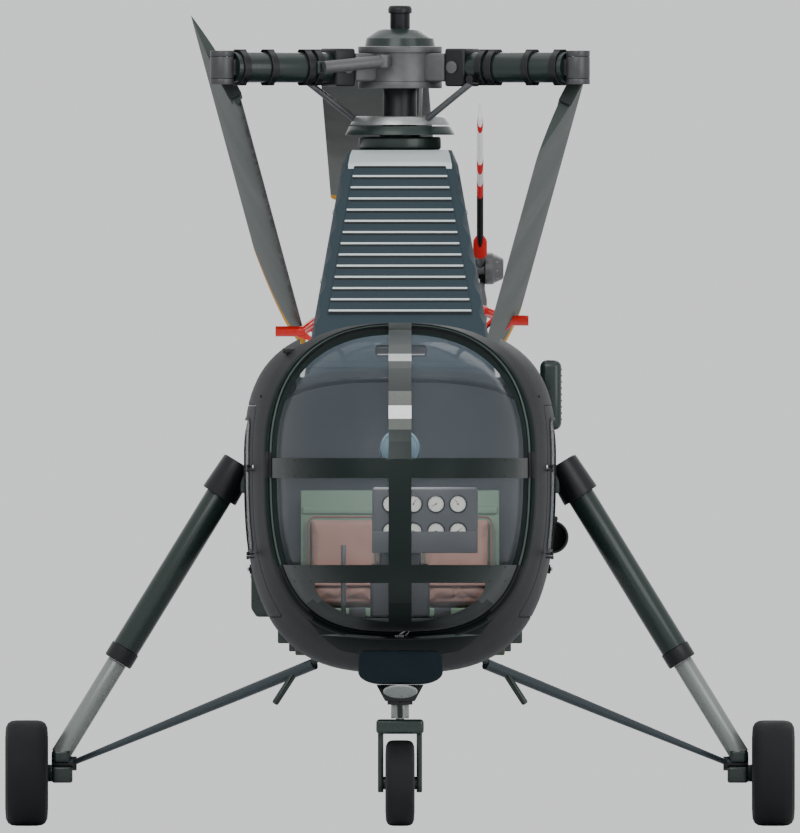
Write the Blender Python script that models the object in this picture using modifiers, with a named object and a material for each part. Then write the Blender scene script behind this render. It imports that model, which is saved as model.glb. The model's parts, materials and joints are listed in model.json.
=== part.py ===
"""A light three-blade helicopter on a wheeled gear, parked with two blades folded aft.

Metres, +Z up, nose towards -Y, the craft's port side towards +X. The origin lies on
the ground under the middle of the whole craft. Stations along the craft are given
from the rotor mast (MAST_Y), heights from the ground.
"""
import math
from collections import namedtuple

import bmesh
import bpy
from mathutils import Matrix, Vector

# General
MAST_Y = -3.415
SEAT_GAP = 0.0003
BEARING_GAP = 0.0006
ROUND_STEPS = 16
WHEEL_STEPS = 24
OUTLINE_POINTS = 32
PORT, STARBOARD = 1, -1
SIDE_NAMES = {PORT: "port", STARBOARD: "starboard"}

# Fuselage skins
WAIST_Z = 1.76
TOP_POWER = 2.4
BOTTOM_POWER = 3.0
CABIN_WALL = 0.035
DOME_WALL = 0.022
GLASS_WALL = 0.006
BAY_WALL = 0.03
BOOM_WALL = 0.02

# Nose ring and glazed dome
RING_Y = MAST_Y - 2.25
RING_DEPTH = 0.05
RING_WIDTH = 0.055
DOME_INSET = 0.035
DOME_LENGTH = 1.20
NOSE_Z = 1.40
DOME_POWER = 2.2
DOME_STEPS = (0.0, 0.28, 0.52, 0.71, 0.85, 0.94, 0.985, 0.999)
POST_HALF = 0.055
UPPER_BAR = (1.673, 1.769)
LOWER_BAR = (1.168, 1.255)
LOWER_WINDOW_HALF = 0.41
LOWER_WINDOW_Z = 0.98

# Doors and windows
DOOR_FRONT = MAST_Y - 2.08
DOOR_AFT = MAST_Y - 1.05
DOOR_Z = (1.008, 2.02)
DOOR_GAP = 0.006
DOOR_AFT_GAP = 0.020
DOOR_WINDOW_Z = (1.33, 1.95)
DOOR_RAIL = 0.075
HINGE_X = 0.732
HINGE_RADIUS = 0.011
HINGE_HEIGHTS = (1.30, 1.72)
SIDE_WINDOW_Y = (MAST_Y - 0.92, MAST_Y - 0.52)
SIDE_WINDOW_Z = (1.40, 1.92)
ROOF_WINDOW_Y = (MAST_Y - 2.14, MAST_Y - 1.06)
ROOF_WINDOW_HALF = 0.48
ROOF_RIB_HALF = 0.03
GLASS_LAP = 0.02

# Cabin inside
FLOOR_Z = (0.97, 1.00)
BULKHEAD_Y = MAST_Y - 0.46
SEAT_BACK_Y = MAST_Y - 1.27
CUSHION_X = (0.10, 0.447)

# Pylon and intake
PYLON_TOP = 3.25
PYLON_BASE = 2.02
PYLON_WALL = 0.025
SLAT_COUNT = 14
SLAT_Z = (2.48, 3.18)
SLAT_PROUD = 0.014

# Main gear
MAIN_GEAR_Y = MAST_Y + 0.42
LEG_TOP = (0.771, 1.747)
LEG_FOOT = (1.62, 0.363)
MAIN_TYRE_RADIUS = 0.2545
MAIN_TYRE_X = 1.795
MAIN_TYRE_WIDTH = 0.205
MAIN_RIM_RADIUS = 0.135
MAIN_AXLE_RADIUS = 0.025

# Nose gear
NOSE_GEAR_Y = MAST_Y - 2.60
NOSE_TRAIL = 0.05
NOSE_TYRE_RADIUS = 0.2065
NOSE_TYRE_WIDTH = 0.13
NOSE_RIM_RADIUS = 0.105
NOSE_AXLE_RADIUS = 0.016
SPINDLE_RADIUS = 0.020

# Main rotor
HUB_Z = 3.647
MAST_RADIUS = 0.082
STEM_RADIUS = 0.05
HUB_RADIUS = 0.202
PIN_REACH = 0.988
PIN_RADIUS = 0.016
EYE_RADIUS = 0.058
DAMPER_TURN = 50.0
DAMPER_REACH = 0.245
EAR_RADIUS = 0.035
ARM_AZIMUTHS = {"starboard": 210.0, "port": 330.0, "aft": 90.0}
ROTOR_RADIUS = 7.40
CHORD = 0.516
BLADE_THICKNESS = 0.062
BLADE_SPAN = ROTOR_RADIUS - PIN_REACH
BLADE_ROOT = 0.20
QUARTER = 0.25

# Tail
BOOM_FRONT_Y = MAST_Y + 1.70
BOOM_END_Y = MAST_Y + 8.30
TAIL_AXIS_Y = MAST_Y + 9.05
TAIL_AXIS_Z = 2.68
TAIL_PLANE_X = 0.385
TAIL_RADIUS = 1.47
TAIL_CHORD = 0.19
TAIL_PHASE = -1.1
TAIL_SHAFT_RADIUS = 0.030
BOOM_END_WALL = 0.06
GEARBOX_X = -0.125
SKID_RADIUS = 0.022
TAILPLANE_CHORD = 0.42
TAILPLANE_THICKNESS = 0.045
TAILPLANE_HALF = 0.62
TAILPLANE_Y = MAST_Y + 7.32
TAILPLANE_Z = 1.997

Station = namedtuple("Station", "y half_width top bottom")
Finish = namedtuple("Finish", "color roughness metallic")

CABIN_STATIONS = (
    Station(RING_Y, 0.650, 2.420, 0.900),
    Station(RING_Y + 0.15, 0.705, 2.418, 0.820),
    Station(RING_Y + 0.37, 0.745, 2.405, 0.745),
    Station(RING_Y + 0.80, 0.745, 2.300, 0.740),
    Station(RING_Y + 1.25, 0.745, 2.185, 0.740),
    Station(MAST_Y - 0.40, 0.712, 2.170, 0.770),
)
BAY_STATIONS = (
    Station(MAST_Y - 0.40 + SEAT_GAP, 0.712, 2.170, 0.770),
    Station(MAST_Y + 0.10, 0.680, 2.165, 0.800),
    Station(MAST_Y + 0.50, 0.620, 2.150, 0.860),
    Station(MAST_Y + 1.10, 0.470, 2.080, 1.080),
    Station(BOOM_FRONT_Y, 0.330, 2.020, 1.370),
)
BOOM_STATIONS = (
    Station(BOOM_FRONT_Y + SEAT_GAP, 0.330, 2.020, 1.370),
    Station(MAST_Y + 2.60, 0.290, 1.990, 1.450),
    Station(MAST_Y + 5.00, 0.220, 1.985, 1.570),
    Station(MAST_Y + 8.00, 0.140, 1.990, 1.740),
    Station(BOOM_END_Y, 0.110, 1.985, 1.775),
)

FINISHES = {
    "shell": Finish((0.060, 0.064, 0.066), 0.45, 0.2),
    "frame": Finish((0.015, 0.028, 0.024), 0.35, 0.1),
    "pylon": Finish((0.055, 0.080, 0.100), 0.40, 0.2),
    "grey_metal": Finish((0.130, 0.130, 0.135), 0.40, 0.7),
    "black_metal": Finish((0.010, 0.010, 0.012), 0.45, 0.2),
    "piston": Finish((0.200, 0.210, 0.210), 0.25, 0.9),
    "blade": Finish((0.100, 0.118, 0.107), 0.55, 0.1),
    "glass": Finish((0.250, 0.300, 0.330), 0.05, 0.0),
    "panel": Finish((0.110, 0.110, 0.120), 0.50, 0.0),
    "fabric": Finish((0.260, 0.170, 0.145), 0.85, 0.0),
    "seat": Finish((0.150, 0.200, 0.160), 0.70, 0.0),
    "tyre": Finish((0.012, 0.012, 0.013), 0.80, 0.0),
    "rotor_red": Finish((0.800, 0.018, 0.013), 0.40, 0.1),
}


def clear_scene():
    """Remove whatever the file held."""
    for old in list(bpy.data.objects):
        bpy.data.objects.remove(old, do_unlink=True)


def make_collection(name):
    """Add a collection under the scene."""
    collection = bpy.data.collections.new(name)
    bpy.context.scene.collection.children.link(collection)
    return collection


clear_scene()
PARTS = make_collection("helicopter")
CUTTERS = make_collection("cutters")


def make_materials():
    """Make one Principled material for each finish."""
    made = {}
    for name, finish in FINISHES.items():
        material = bpy.data.materials.new(name)
        material.use_nodes = True
        shader = material.node_tree.nodes["Principled BSDF"]
        shader.inputs["Base Color"].default_value = (*finish.color, 1.0)
        shader.inputs["Roughness"].default_value = finish.roughness
        shader.inputs["Metallic"].default_value = finish.metallic
        made[name] = material
    return made


MATERIALS = make_materials()


def new_object(name, mesh):
    """Link a mesh as an object in the cutters' collection until it is finished."""
    obj = bpy.data.objects.new(name, mesh)
    CUTTERS.objects.link(obj)
    return obj


def from_bmesh(name, bm):
    """Close a bmesh into an object with its faces pointing out."""
    bmesh.ops.recalc_face_normals(bm, faces=bm.faces)
    mesh = bpy.data.meshes.new(name)
    bm.to_mesh(mesh)
    bm.free()
    return new_object(name, mesh)


def bake(obj):
    """Replace an object by the mesh that its modifiers or its curve make."""
    bpy.context.view_layer.update()
    graph = bpy.context.evaluated_depsgraph_get()
    mesh = bpy.data.meshes.new_from_object(obj.evaluated_get(graph), depsgraph=graph)
    bm = bmesh.new()
    bm.from_mesh(mesh)
    bmesh.ops.remove_doubles(bm, verts=bm.verts, dist=0.000002)
    bmesh.ops.transform(bm, matrix=obj.matrix_world, verts=bm.verts)
    name = obj.name
    bpy.data.objects.remove(obj, do_unlink=True)
    bpy.data.meshes.remove(mesh)
    return from_bmesh(name, bm)


def box(name, low, high, bevel=0.0, segments=1):
    """A box between two corners, with its edges rounded by bevel."""
    size = Vector(high) - Vector(low)
    bm = bmesh.new()
    bmesh.ops.create_cube(bm, size=1.0)
    bmesh.ops.scale(bm, vec=size, verts=bm.verts)
    bmesh.ops.translate(bm, vec=(Vector(low) + Vector(high)) / 2, verts=bm.verts)
    if bevel:
        bmesh.ops.bevel(
            bm, geom=bm.edges[:], offset=bevel, segments=segments, profile=0.5, affect="EDGES"
        )
    return from_bmesh(name, bm)


def mirrored_box(name, side, x_range, y_range, z_range, bevel=0.0):
    """A box on one side of the craft, given by distances from the centre plane."""
    x_low, x_high = sorted(side * x for x in x_range)
    low = (x_low, y_range[0], z_range[0])
    high = (x_high, y_range[1], z_range[1])
    return box(name, low, high, bevel)


def turned(name, profile, steps=ROUND_STEPS, closed=False, matrix=None):
    """Turn (radius, height) points, top to bottom on the outer side, about Z."""
    count = len(profile)
    edges = [(i, i + 1) for i in range(count - 1)]
    if closed:
        edges.append((count - 1, 0))
    mesh = bpy.data.meshes.new(name)
    mesh.from_pydata([(radius, 0.0, height) for radius, height in profile], edges, [])
    obj = new_object(name, mesh)
    screw = obj.modifiers.new("Turn", "SCREW")
    screw.axis = "Z"
    screw.steps = steps
    screw.render_steps = steps
    screw.use_merge_vertices = True
    screw.merge_threshold = 0.0001
    if matrix is not None:
        obj.matrix_world = matrix
    return bake(obj)


def along(start, end):
    """A matrix that carries +Z onto the way from start to end, with its origin at start."""
    way = Vector(end) - Vector(start)
    return Matrix.Translation(start) @ way.to_track_quat("Z", "Y").to_matrix().to_4x4()


def rod(name, start, end, radius, steps=12):
    """A round bar between two points."""
    length = (Vector(end) - Vector(start)).length
    profile = [(0.0, length), (radius, length), (radius, 0.0), (0.0, 0.0)]
    return turned(name, profile, steps, matrix=along(start, end))


def tube(name, points, radius, radii=None, resolution=1):
    """A round bar along a row of points, which may taper."""
    curve = bpy.data.curves.new(name, "CURVE")
    curve.dimensions = "3D"
    curve.bevel_depth = radius
    curve.bevel_resolution = resolution
    curve.use_fill_caps = True
    spline = curve.splines.new("POLY")
    spline.points.add(len(points) - 1)
    for index, point in enumerate(points):
        spline.points[index].co = (*point, 1.0)
        if radii:
            spline.points[index].radius = radii[index] / radius
    return bake(new_object(name, curve))


def prism(name, outline, half_depth, matrix):
    """A flat outline in X and Y, thickened both ways along Z, then placed."""
    curve = bpy.data.curves.new(name, "CURVE")
    curve.dimensions = "2D"
    curve.fill_mode = "BOTH"
    curve.extrude = half_depth
    spline = curve.splines.new("POLY")
    spline.points.add(len(outline) - 1)
    for index, (x, y) in enumerate(outline):
        spline.points[index].co = (x, y, 0.0, 1.0)
    spline.use_cyclic_u = True
    obj = new_object(name, curve)
    obj.matrix_world = matrix
    return bake(obj)


def side_prism(name, outline, x_centre, half_depth):
    """A prism whose outline is given as (y, z), thickened along X."""
    matrix = Matrix(((0, 0, 1, x_centre), (1, 0, 0, 0), (0, 1, 0, 0), (0, 0, 0, 1)))
    return prism(name, outline, half_depth, matrix)


def front_prism(name, outline, y_range):
    """A prism whose outline is given as (x, z), thickened along Y."""
    middle = sum(y_range) / 2
    matrix = Matrix(((1, 0, 0, 0), (0, 0, -1, middle), (0, 1, 0, 0), (0, 0, 0, 1)))
    return prism(name, outline, (y_range[1] - y_range[0]) / 2, matrix)


def loft(name, rings):
    """Join rings of equal count by quads and close both ends."""
    bm = bmesh.new()
    rows = [[bm.verts.new(point) for point in ring] for ring in rings]
    for near, far in zip(rows, rows[1:]):
        for index in range(len(near)):
            after = (index + 1) % len(near)
            bm.faces.new((near[index], near[after], far[after], far[index]))
    bmesh.ops.triangulate(bm, faces=bm.faces)
    bm.faces.new(rows[0])
    bm.faces.new(rows[-1])
    return from_bmesh(name, bm)


def combine(target, other, operation, keep=False):
    """Unite, cut or intersect the target with another solid, which then goes."""
    modifier = target.modifiers.new("Shape", "BOOLEAN")
    modifier.operation = operation
    modifier.solver = "EXACT"
    modifier.object = other
    result = bake(target)
    if not keep:
        bpy.data.objects.remove(other, do_unlink=True)
    return result


def join(first, *others):
    """Unite solids into one body."""
    for other in others:
        first = combine(first, other, "UNION")
    return first


def cut(target, *cutters):
    """Cut solids out of a body."""
    for cutter in cutters:
        target = combine(target, cutter, "DIFFERENCE")
    return target


def within(target, volume):
    """Keep what lies inside a volume."""
    return combine(target, volume, "INTERSECT")


def finish(obj, name, material, pivot=(0.0, 0.0, 0.0), sharp=32.0):
    """Name a finished sub-part, give it its material and put its origin on its pivot."""
    mesh = obj.data
    mesh.transform(Matrix.Translation(-Vector(pivot)))
    obj.location = pivot
    obj.name = name
    mesh.name = name
    mesh.materials.clear()
    mesh.materials.append(MATERIALS[material])
    mesh.shade_smooth()
    mesh.set_sharp_from_angle(angle=math.radians(sharp))
    CUTTERS.objects.unlink(obj)
    PARTS.objects.link(obj)
    return obj


def oval(half_width, top, bottom, waist=WAIST_Z, count=OUTLINE_POINTS):
    """The (x, z) outline of a fuselage section: a superellipse about its waist."""
    points = []
    for index in range(count):
        angle = 2 * math.pi * (index + 0.5) / count
        across, up = math.cos(angle), math.sin(angle)
        power = TOP_POWER if up > 0 else BOTTOM_POWER
        reach = top - waist if up > 0 else waist - bottom
        x = half_width * math.copysign(abs(across) ** (2 / power), across)
        z = waist + reach * math.copysign(abs(up) ** (2 / power), up)
        points.append((x, z))
    return points


def skin_ring(station, inset, waist=WAIST_Z, count=OUTLINE_POINTS):
    """A section's outline, moved in by inset, as points in space."""
    outline = oval(
        station.half_width - inset, station.top - inset, station.bottom + inset, waist, count
    )
    return [(x, station.y, z) for x, z in outline]


def skin_volume(name, stations, inset, front=0.0, back=0.0):
    """The space inside a row of sections, longer by front and back at its ends."""
    rings = [skin_ring(station, inset) for station in stations]
    if front:
        rings.insert(0, [(x, y - front, z) for x, y, z in rings[0]])
    if back:
        rings.append([(x, y + back, z) for x, y, z in rings[-1]])
    return loft(name, rings)


def cabin_volume(inset, front=0.0, back=0.0):
    return skin_volume("cabin_volume", CABIN_STATIONS, inset, front, back)


def bay_volume(inset, front=0.0, back=0.0):
    return skin_volume("bay_volume", BAY_STATIONS, inset, front, back)


def boom_volume(inset, front=0.0, back=0.0):
    """The space inside the tail boom, whose sections are near to round."""
    rings = []
    for station in BOOM_STATIONS:
        waist = (station.top + station.bottom) / 2
        rings.append(skin_ring(station, inset, waist, 24))
    if front:
        rings.insert(0, [(x, y - front, z) for x, y, z in rings[0]])
    if back:
        rings.append([(x, y + back, z) for x, y, z in rings[-1]])
    return loft("boom_volume", rings)


def dome_volume(inset, back):
    """The space inside the nose dome: the ring's outline drawn in to the nose."""
    ring = CABIN_STATIONS[0]
    drawn = DOME_INSET + inset
    outline = oval(ring.half_width - drawn, ring.top - drawn, ring.bottom + drawn)
    base_y = RING_Y - RING_DEPTH
    rings = [[(x, base_y + back, z) for x, z in outline]]
    for step in DOME_STEPS:
        spread = (1 - step**DOME_POWER) ** (1 / DOME_POWER)
        y = base_y - (DOME_LENGTH - inset) * step
        rings.append([(x * spread, y, NOSE_Z + (z - NOSE_Z) * spread) for x, z in outline])
    return loft("dome_volume", rings)


def window_arch(side):
    """The (x, z) outline of a lower nose window, round along its lower edge."""
    near = side * (POST_HALF + 0.0005)
    points = [(near, LOWER_BAR[0]), (side * LOWER_WINDOW_HALF, LOWER_BAR[0])]
    drop = LOWER_BAR[0] - LOWER_WINDOW_Z
    steps = 7
    for index in range(1, steps + 1):
        angle = math.radians(82) * index / steps
        across = side * LOWER_WINDOW_HALF * math.cos(angle)
        points.append((across, LOWER_BAR[0] - drop * math.sin(angle)))
    points.append((near, LOWER_WINDOW_Z))
    return points


def build_nose():
    """The ring, the dome's frame bars with its lower skin, and the glass behind them."""
    ring_front = RING_Y - RING_DEPTH
    ring_station = CABIN_STATIONS[0]
    ring_edge = ring_station._replace(y=RING_Y - SEAT_GAP)
    ring = loft("ring", [skin_ring(ring_edge._replace(y=ring_front), 0), skin_ring(ring_edge, 0)])
    hole_ends = [ring_edge._replace(y=ring_front - 0.1), ring_edge._replace(y=RING_Y + 0.1)]
    hole = loft("ring_hole", [skin_ring(end, RING_WIDTH) for end in hole_ends])
    ring = cut(ring, hole)
    frame = cut(dome_volume(0, 0.01), dome_volume(DOME_WALL, 0.2))
    window_end = ring_front - 0.002
    nose_tip = ring_front - DOME_LENGTH - 0.1
    for side in (PORT, STARBOARD):
        for z_range in ((UPPER_BAR[1], 2.6), (LOWER_BAR[1], UPPER_BAR[0])):
            window = mirrored_box("window", side, (POST_HALF, 1.0), (nose_tip, window_end), z_range)
            frame = cut(frame, window)
        frame = cut(frame, front_prism("window", window_arch(side), (nose_tip, ring_front - 0.15)))
    handle_z = 2.284
    handle_low = (-0.12, RING_Y - 0.045, handle_z - 0.028)
    handle_high = (0.13, RING_Y - 0.005, handle_z + 0.028)
    handle = box("handle", handle_low, handle_high, 0.014, 2)
    stalk = box("stalk", (-0.02, RING_Y - 0.035, handle_z), (0.02, RING_Y - 0.015, 2.38))
    frame = join(frame, ring, handle, stalk)
    finish(frame, "nose_frame", "frame")

    lap = DOME_WALL + SEAT_GAP
    glass = cut(dome_volume(lap, 0), dome_volume(lap + GLASS_WALL, 0.2))
    trim_low = box("trim", (-1, nose_tip, 0.0), (1, RING_Y + 0.1, LOWER_WINDOW_Z - 0.015))
    trim_back = box("trim", (-1, ring_front - SEAT_GAP, 0.0), (1, RING_Y + 0.1, 3.0))
    finish(cut(glass, trim_low, trim_back), "nose_glass", "glass")


def hinge_part(name, side, z_range, aft):
    """A hinge barrel with the leaf that joins it to the door or to the jamb."""
    x = side * HINGE_X
    barrel = rod(name, (x, DOOR_FRONT, z_range[0]), (x, DOOR_FRONT, z_range[1]), HINGE_RADIUS)
    near, far = (0.005, 0.045) if aft else (-0.045, -0.008)
    leaf_z = (z_range[0] + 0.001, z_range[1] - 0.001)
    leaf_y = (DOOR_FRONT + near, DOOR_FRONT + far)
    return join(barrel, mirrored_box("leaf", side, (0.668, HINGE_X + 0.005), leaf_y, leaf_z))


def build_cabin():
    """The cabin skin with its openings, both doors, their glass and the roof's glass."""
    shell = cut(cabin_volume(0), cabin_volume(CABIN_WALL, 0.2, 0.2))
    glass_source = CABIN_WALL + SEAT_GAP
    for side in (PORT, STARBOARD):
        name = SIDE_NAMES[side]
        skin = cut(cabin_volume(0), cabin_volume(CABIN_WALL, 0.2, 0.2))
        door = within(skin, mirrored_box("door_box", side, (0.3, 1.0), (DOOR_FRONT, DOOR_AFT), DOOR_Z))
        window_y = (DOOR_FRONT + DOOR_RAIL, DOOR_AFT - DOOR_RAIL)
        door = cut(door, mirrored_box("door_window", side, (0.3, 1.0), window_y, DOOR_WINDOW_Z))
        opening_y = (DOOR_FRONT - DOOR_GAP, DOOR_AFT + DOOR_AFT_GAP)
        opening_z = (DOOR_Z[0] - DOOR_GAP, DOOR_Z[1] + DOOR_GAP)
        shell = cut(shell, mirrored_box("door_opening", side, (0.3, 1.0), opening_y, opening_z))
        shell = cut(shell, mirrored_box("side_window", side, (0.3, 1.0), SIDE_WINDOW_Y, SIDE_WINDOW_Z))
        for height in HINGE_HEIGHTS:
            jamb_range = (height - 0.05, height - BEARING_GAP)
            door_range = (height, height + 0.05)
            shell = join(shell, hinge_part("jamb_hinge", side, jamb_range, False))
            door = join(door, hinge_part("door_hinge", side, door_range, True))
        finish(door, f"door_{name}", "shell", (side * HINGE_X, DOOR_FRONT, WAIST_Z))

        panes = (
            (f"door_glass_{name}", window_y, DOOR_WINDOW_Z, (side * HINGE_X, DOOR_FRONT, WAIST_Z)),
            (f"side_window_{name}", SIDE_WINDOW_Y, SIDE_WINDOW_Z, (0, 0, 0)),
        )
        for pane_name, y_range, z_range, pivot in panes:
            sheet = cut(
                cabin_volume(glass_source), cabin_volume(glass_source + GLASS_WALL, 0.2, 0.2)
            )
            y_lap = (y_range[0] - GLASS_LAP, y_range[1] + GLASS_LAP)
            z_lap = (z_range[0] - GLASS_LAP, z_range[1] + GLASS_LAP)
            pane = within(sheet, mirrored_box("pane", side, (0.3, 1.0), y_lap, z_lap))
            finish(pane, pane_name, "glass", pivot)

    half = ROOF_WINDOW_HALF
    for side in (PORT, STARBOARD):
        roof_x = (ROOF_RIB_HALF, half)
        shell = cut(shell, mirrored_box("roof_window", side, roof_x, ROOF_WINDOW_Y, (WAIST_Z, 3.0)))
    finish(shell, "cabin_shell", "shell")

    sheet = cut(cabin_volume(glass_source), cabin_volume(glass_source + GLASS_WALL, 0.2, 0.2))
    lap_low = (-half - GLASS_LAP, ROOF_WINDOW_Y[0] - GLASS_LAP, WAIST_Z)
    lap_high = (half + GLASS_LAP, ROOF_WINDOW_Y[1] + GLASS_LAP, 3.0)
    finish(within(sheet, box("pane", lap_low, lap_high)), "roof_glass", "glass")


def build_interior():
    """The floor, bulkhead, seats, panel and stick that show through the glass."""
    inner = CABIN_WALL + SEAT_GAP
    floor = box("floor", (-1, RING_Y + 0.004, FLOOR_Z[0]), (1, BULKHEAD_Y - SEAT_GAP, FLOOR_Z[1]))
    floor = within(floor, cabin_volume(inner))
    tongue = box("tongue", (-0.25, RING_Y - 0.30, FLOOR_Z[0]), (0.25, RING_Y + 0.05, FLOOR_Z[1]))
    ring_end = CABIN_STATIONS[0]._replace(y=RING_Y + 0.1)
    ring_front = ring_end._replace(y=RING_Y - 0.5)
    clear = RING_WIDTH + SEAT_GAP
    ring_clear = loft("ring_clear", [skin_ring(ring_front, clear), skin_ring(ring_end, clear)])
    glass_clear = dome_volume(DOME_WALL + GLASS_WALL + 3 * SEAT_GAP, 0.3)
    tongue = within(within(tongue, ring_clear), glass_clear)
    finish(join(floor, tongue), "cabin_floor", "panel")

    bulkhead = box("bulkhead", (-1, BULKHEAD_Y, 0.5), (1, BULKHEAD_Y + 0.025, 2.5))
    finish(within(bulkhead, cabin_volume(inner)), "rear_bulkhead", "panel")

    seat_front = SEAT_BACK_Y - 0.52
    base_top = FLOOR_Z[1] + 0.05
    frame_outline = [
        (seat_front, FLOOR_Z[1] + SEAT_GAP),
        (SEAT_BACK_Y + 0.03, FLOOR_Z[1] + SEAT_GAP),
        (SEAT_BACK_Y + 0.09, 1.615),
        (SEAT_BACK_Y + 0.06, 1.615),
        (SEAT_BACK_Y, base_top),
        (seat_front, base_top),
    ]
    finish(side_prism("seat", frame_outline, 0.0, 0.48), "seat_frame", "seat")

    pad_low = base_top + SEAT_GAP
    lean = (0.06 / (1.615 - base_top)) * (1.495 - base_top)
    back_gap = 0.002
    pad_outline = [
        (seat_front - 0.01, pad_low),
        (SEAT_BACK_Y - back_gap, pad_low),
        (SEAT_BACK_Y + lean - back_gap, 1.495),
        (SEAT_BACK_Y + lean - 0.085, 1.480),
        (SEAT_BACK_Y - 0.095, 1.25),
        (seat_front + 0.01, 1.23),
        (seat_front - 0.02, 1.19),
    ]
    for side in (PORT, STARBOARD):
        middle = side * sum(CUSHION_X) / 2
        cushion = side_prism("cushion", pad_outline, middle, (CUSHION_X[1] - CUSHION_X[0]) / 2)
        finish(cushion, f"cushion_{SIDE_NAMES[side]}", "fabric")

    bench_back = BULKHEAD_Y - SEAT_GAP
    bench_outline = [
        (bench_back - 0.40, FLOOR_Z[1] + SEAT_GAP),
        (bench_back, FLOOR_Z[1] + SEAT_GAP),
        (bench_back, 1.60),
        (bench_back - 0.08, 1.60),
        (bench_back - 0.10, 1.32),
        (bench_back - 0.40, 1.30),
    ]
    finish(side_prism("bench", bench_outline, 0.0, 0.46), "rear_bench", "fabric")

    panel_y = RING_Y - 0.20
    panel = box("panel", (-0.135, panel_y - 0.10, 1.31), (0.375, panel_y + 0.05, 1.63), 0.02)
    ledge = box("ledge", (-0.125, panel_y - 0.16, 1.31), (0.365, panel_y, 1.417), 0.015)
    pedestal_low = (-0.144, panel_y - 0.06, FLOOR_Z[1] + SEAT_GAP)
    pedestal = box("pedestal", pedestal_low, (0.144, panel_y + 0.06, 1.265))
    neck = box("neck", (-0.10, panel_y - 0.05, 1.20), (0.10, panel_y + 0.05, 1.35))
    stalk = box("stalk", (-0.02, panel_y - 0.02, 1.60), (0.02, panel_y + 0.02, 1.76))
    pod_profile = [
        (0.0, 0.05),
        (0.085, 0.05),
        (0.0985, 0.03),
        (0.0985, -0.03),
        (0.085, -0.05),
        (0.0, -0.05),
    ]
    pod_place = Matrix.Translation((0.0, panel_y, 1.8125)) @ Matrix.Rotation(math.pi / 2, 4, "X")
    pod = turned("pod", pod_profile, 20, matrix=pod_place)
    finish(join(panel, ledge, pedestal, neck, stalk, pod), "instrument_panel", "panel")

    stick_x = -0.272
    stick_y = RING_Y + 0.24
    stick_foot = (stick_x, stick_y, FLOOR_Z[1] + SEAT_GAP)
    stick = rod("stick", stick_foot, (stick_x, stick_y, 1.351), 0.012, 10)
    finish(stick, "cyclic_stick", "black_metal")


def build_engine_bay():
    """The bay behind the cabin with its deck, the engine block and what is on its sides."""
    bay = cut(bay_volume(0), bay_volume(BAY_WALL, 0.2, 0.2))
    hole_radius = MAST_RADIUS + 0.02
    bay = cut(bay, rod("mast_hole", (0, MAST_Y, 2.0), (0, MAST_Y, 2.4), hole_radius, 20))
    deck_top = 1.48
    deck = box("deck", (-1, MAST_Y - 0.385, deck_top - 0.03), (1, MAST_Y + 1.2, deck_top))
    deck = within(deck, bay_volume(BAY_WALL - 0.01))
    finish(join(bay, deck), "engine_bay", "shell")
    low = (-0.25, MAST_Y - 0.36, deck_top + SEAT_GAP)
    finish(box("engine", low, (0.25, MAST_Y + 0.74, 2.05)), "engine_block", "grey_metal")

    pipe_profile = [
        (0.0, 0.46),
        (0.05, 0.46),
        (0.077, 0.40),
        (0.077, 0.0),
        (0.066, 0.0),
        (0.066, 0.22),
        (0.0, 0.22),
    ]
    pipe_mouth = Matrix.Translation((0.731, MAST_Y - 0.30, 1.389))
    pipe_place = pipe_mouth @ Matrix.Rotation(-math.pi / 2, 4, "X")
    pipe = turned("pipe", pipe_profile, 20, matrix=pipe_place)
    knob = rod("knob", (0.745, MAST_Y - 0.27, 1.45), (0.745, MAST_Y - 0.27, 1.482), 0.013, 10)
    finish(cut(join(pipe, knob), bay_volume(-SEAT_GAP)), "exhaust_pipe", "black_metal")

    low, high = MAST_Y - 0.34, MAST_Y - 0.04
    capsule = box("capsule", (0.673, low, 1.904), (0.779, high, 2.24), 0.035, 3)
    bracket = box("bracket", (0.45, low + 0.08, 1.94), (0.69, high - 0.08, 2.02))
    capsule = cut(join(capsule, bracket), bay_volume(-SEAT_GAP))
    finish(capsule, "port_capsule", "frame")
    locker = box("locker", (-0.716, low, 1.005), (-0.52, high, 1.255), 0.015)
    finish(cut(locker, bay_volume(-SEAT_GAP)), "starboard_box", "frame")


def pylon_section(z, inset):
    """The plan outline of the pylon at one height, with cut corners at the front."""
    span = PYLON_TOP - 2.18
    rise = (z - 2.18) / span
    side = 0.45 - 0.20 * rise - 0.035 * math.sin(math.pi * min(max(rise, 0), 1))
    face = 0.38 - 0.165 * rise
    front = MAST_Y - 0.95 + 0.60 * rise
    rear = MAST_Y + 1.72 - 1.27 * rise
    rear_half = 0.20 - 0.06 * rise
    side -= inset
    face -= inset * 0.6
    front += inset
    rear -= inset
    return [
        (-face, front, z),
        (face, front, z),
        (side, front + 0.13, z),
        (side, MAST_Y + 0.25, z),
        (rear_half - inset * 0.5, rear, z),
        (-rear_half + inset * 0.5, rear, z),
        (-side, MAST_Y + 0.25, z),
        (-side, front + 0.13, z),
    ]


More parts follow.
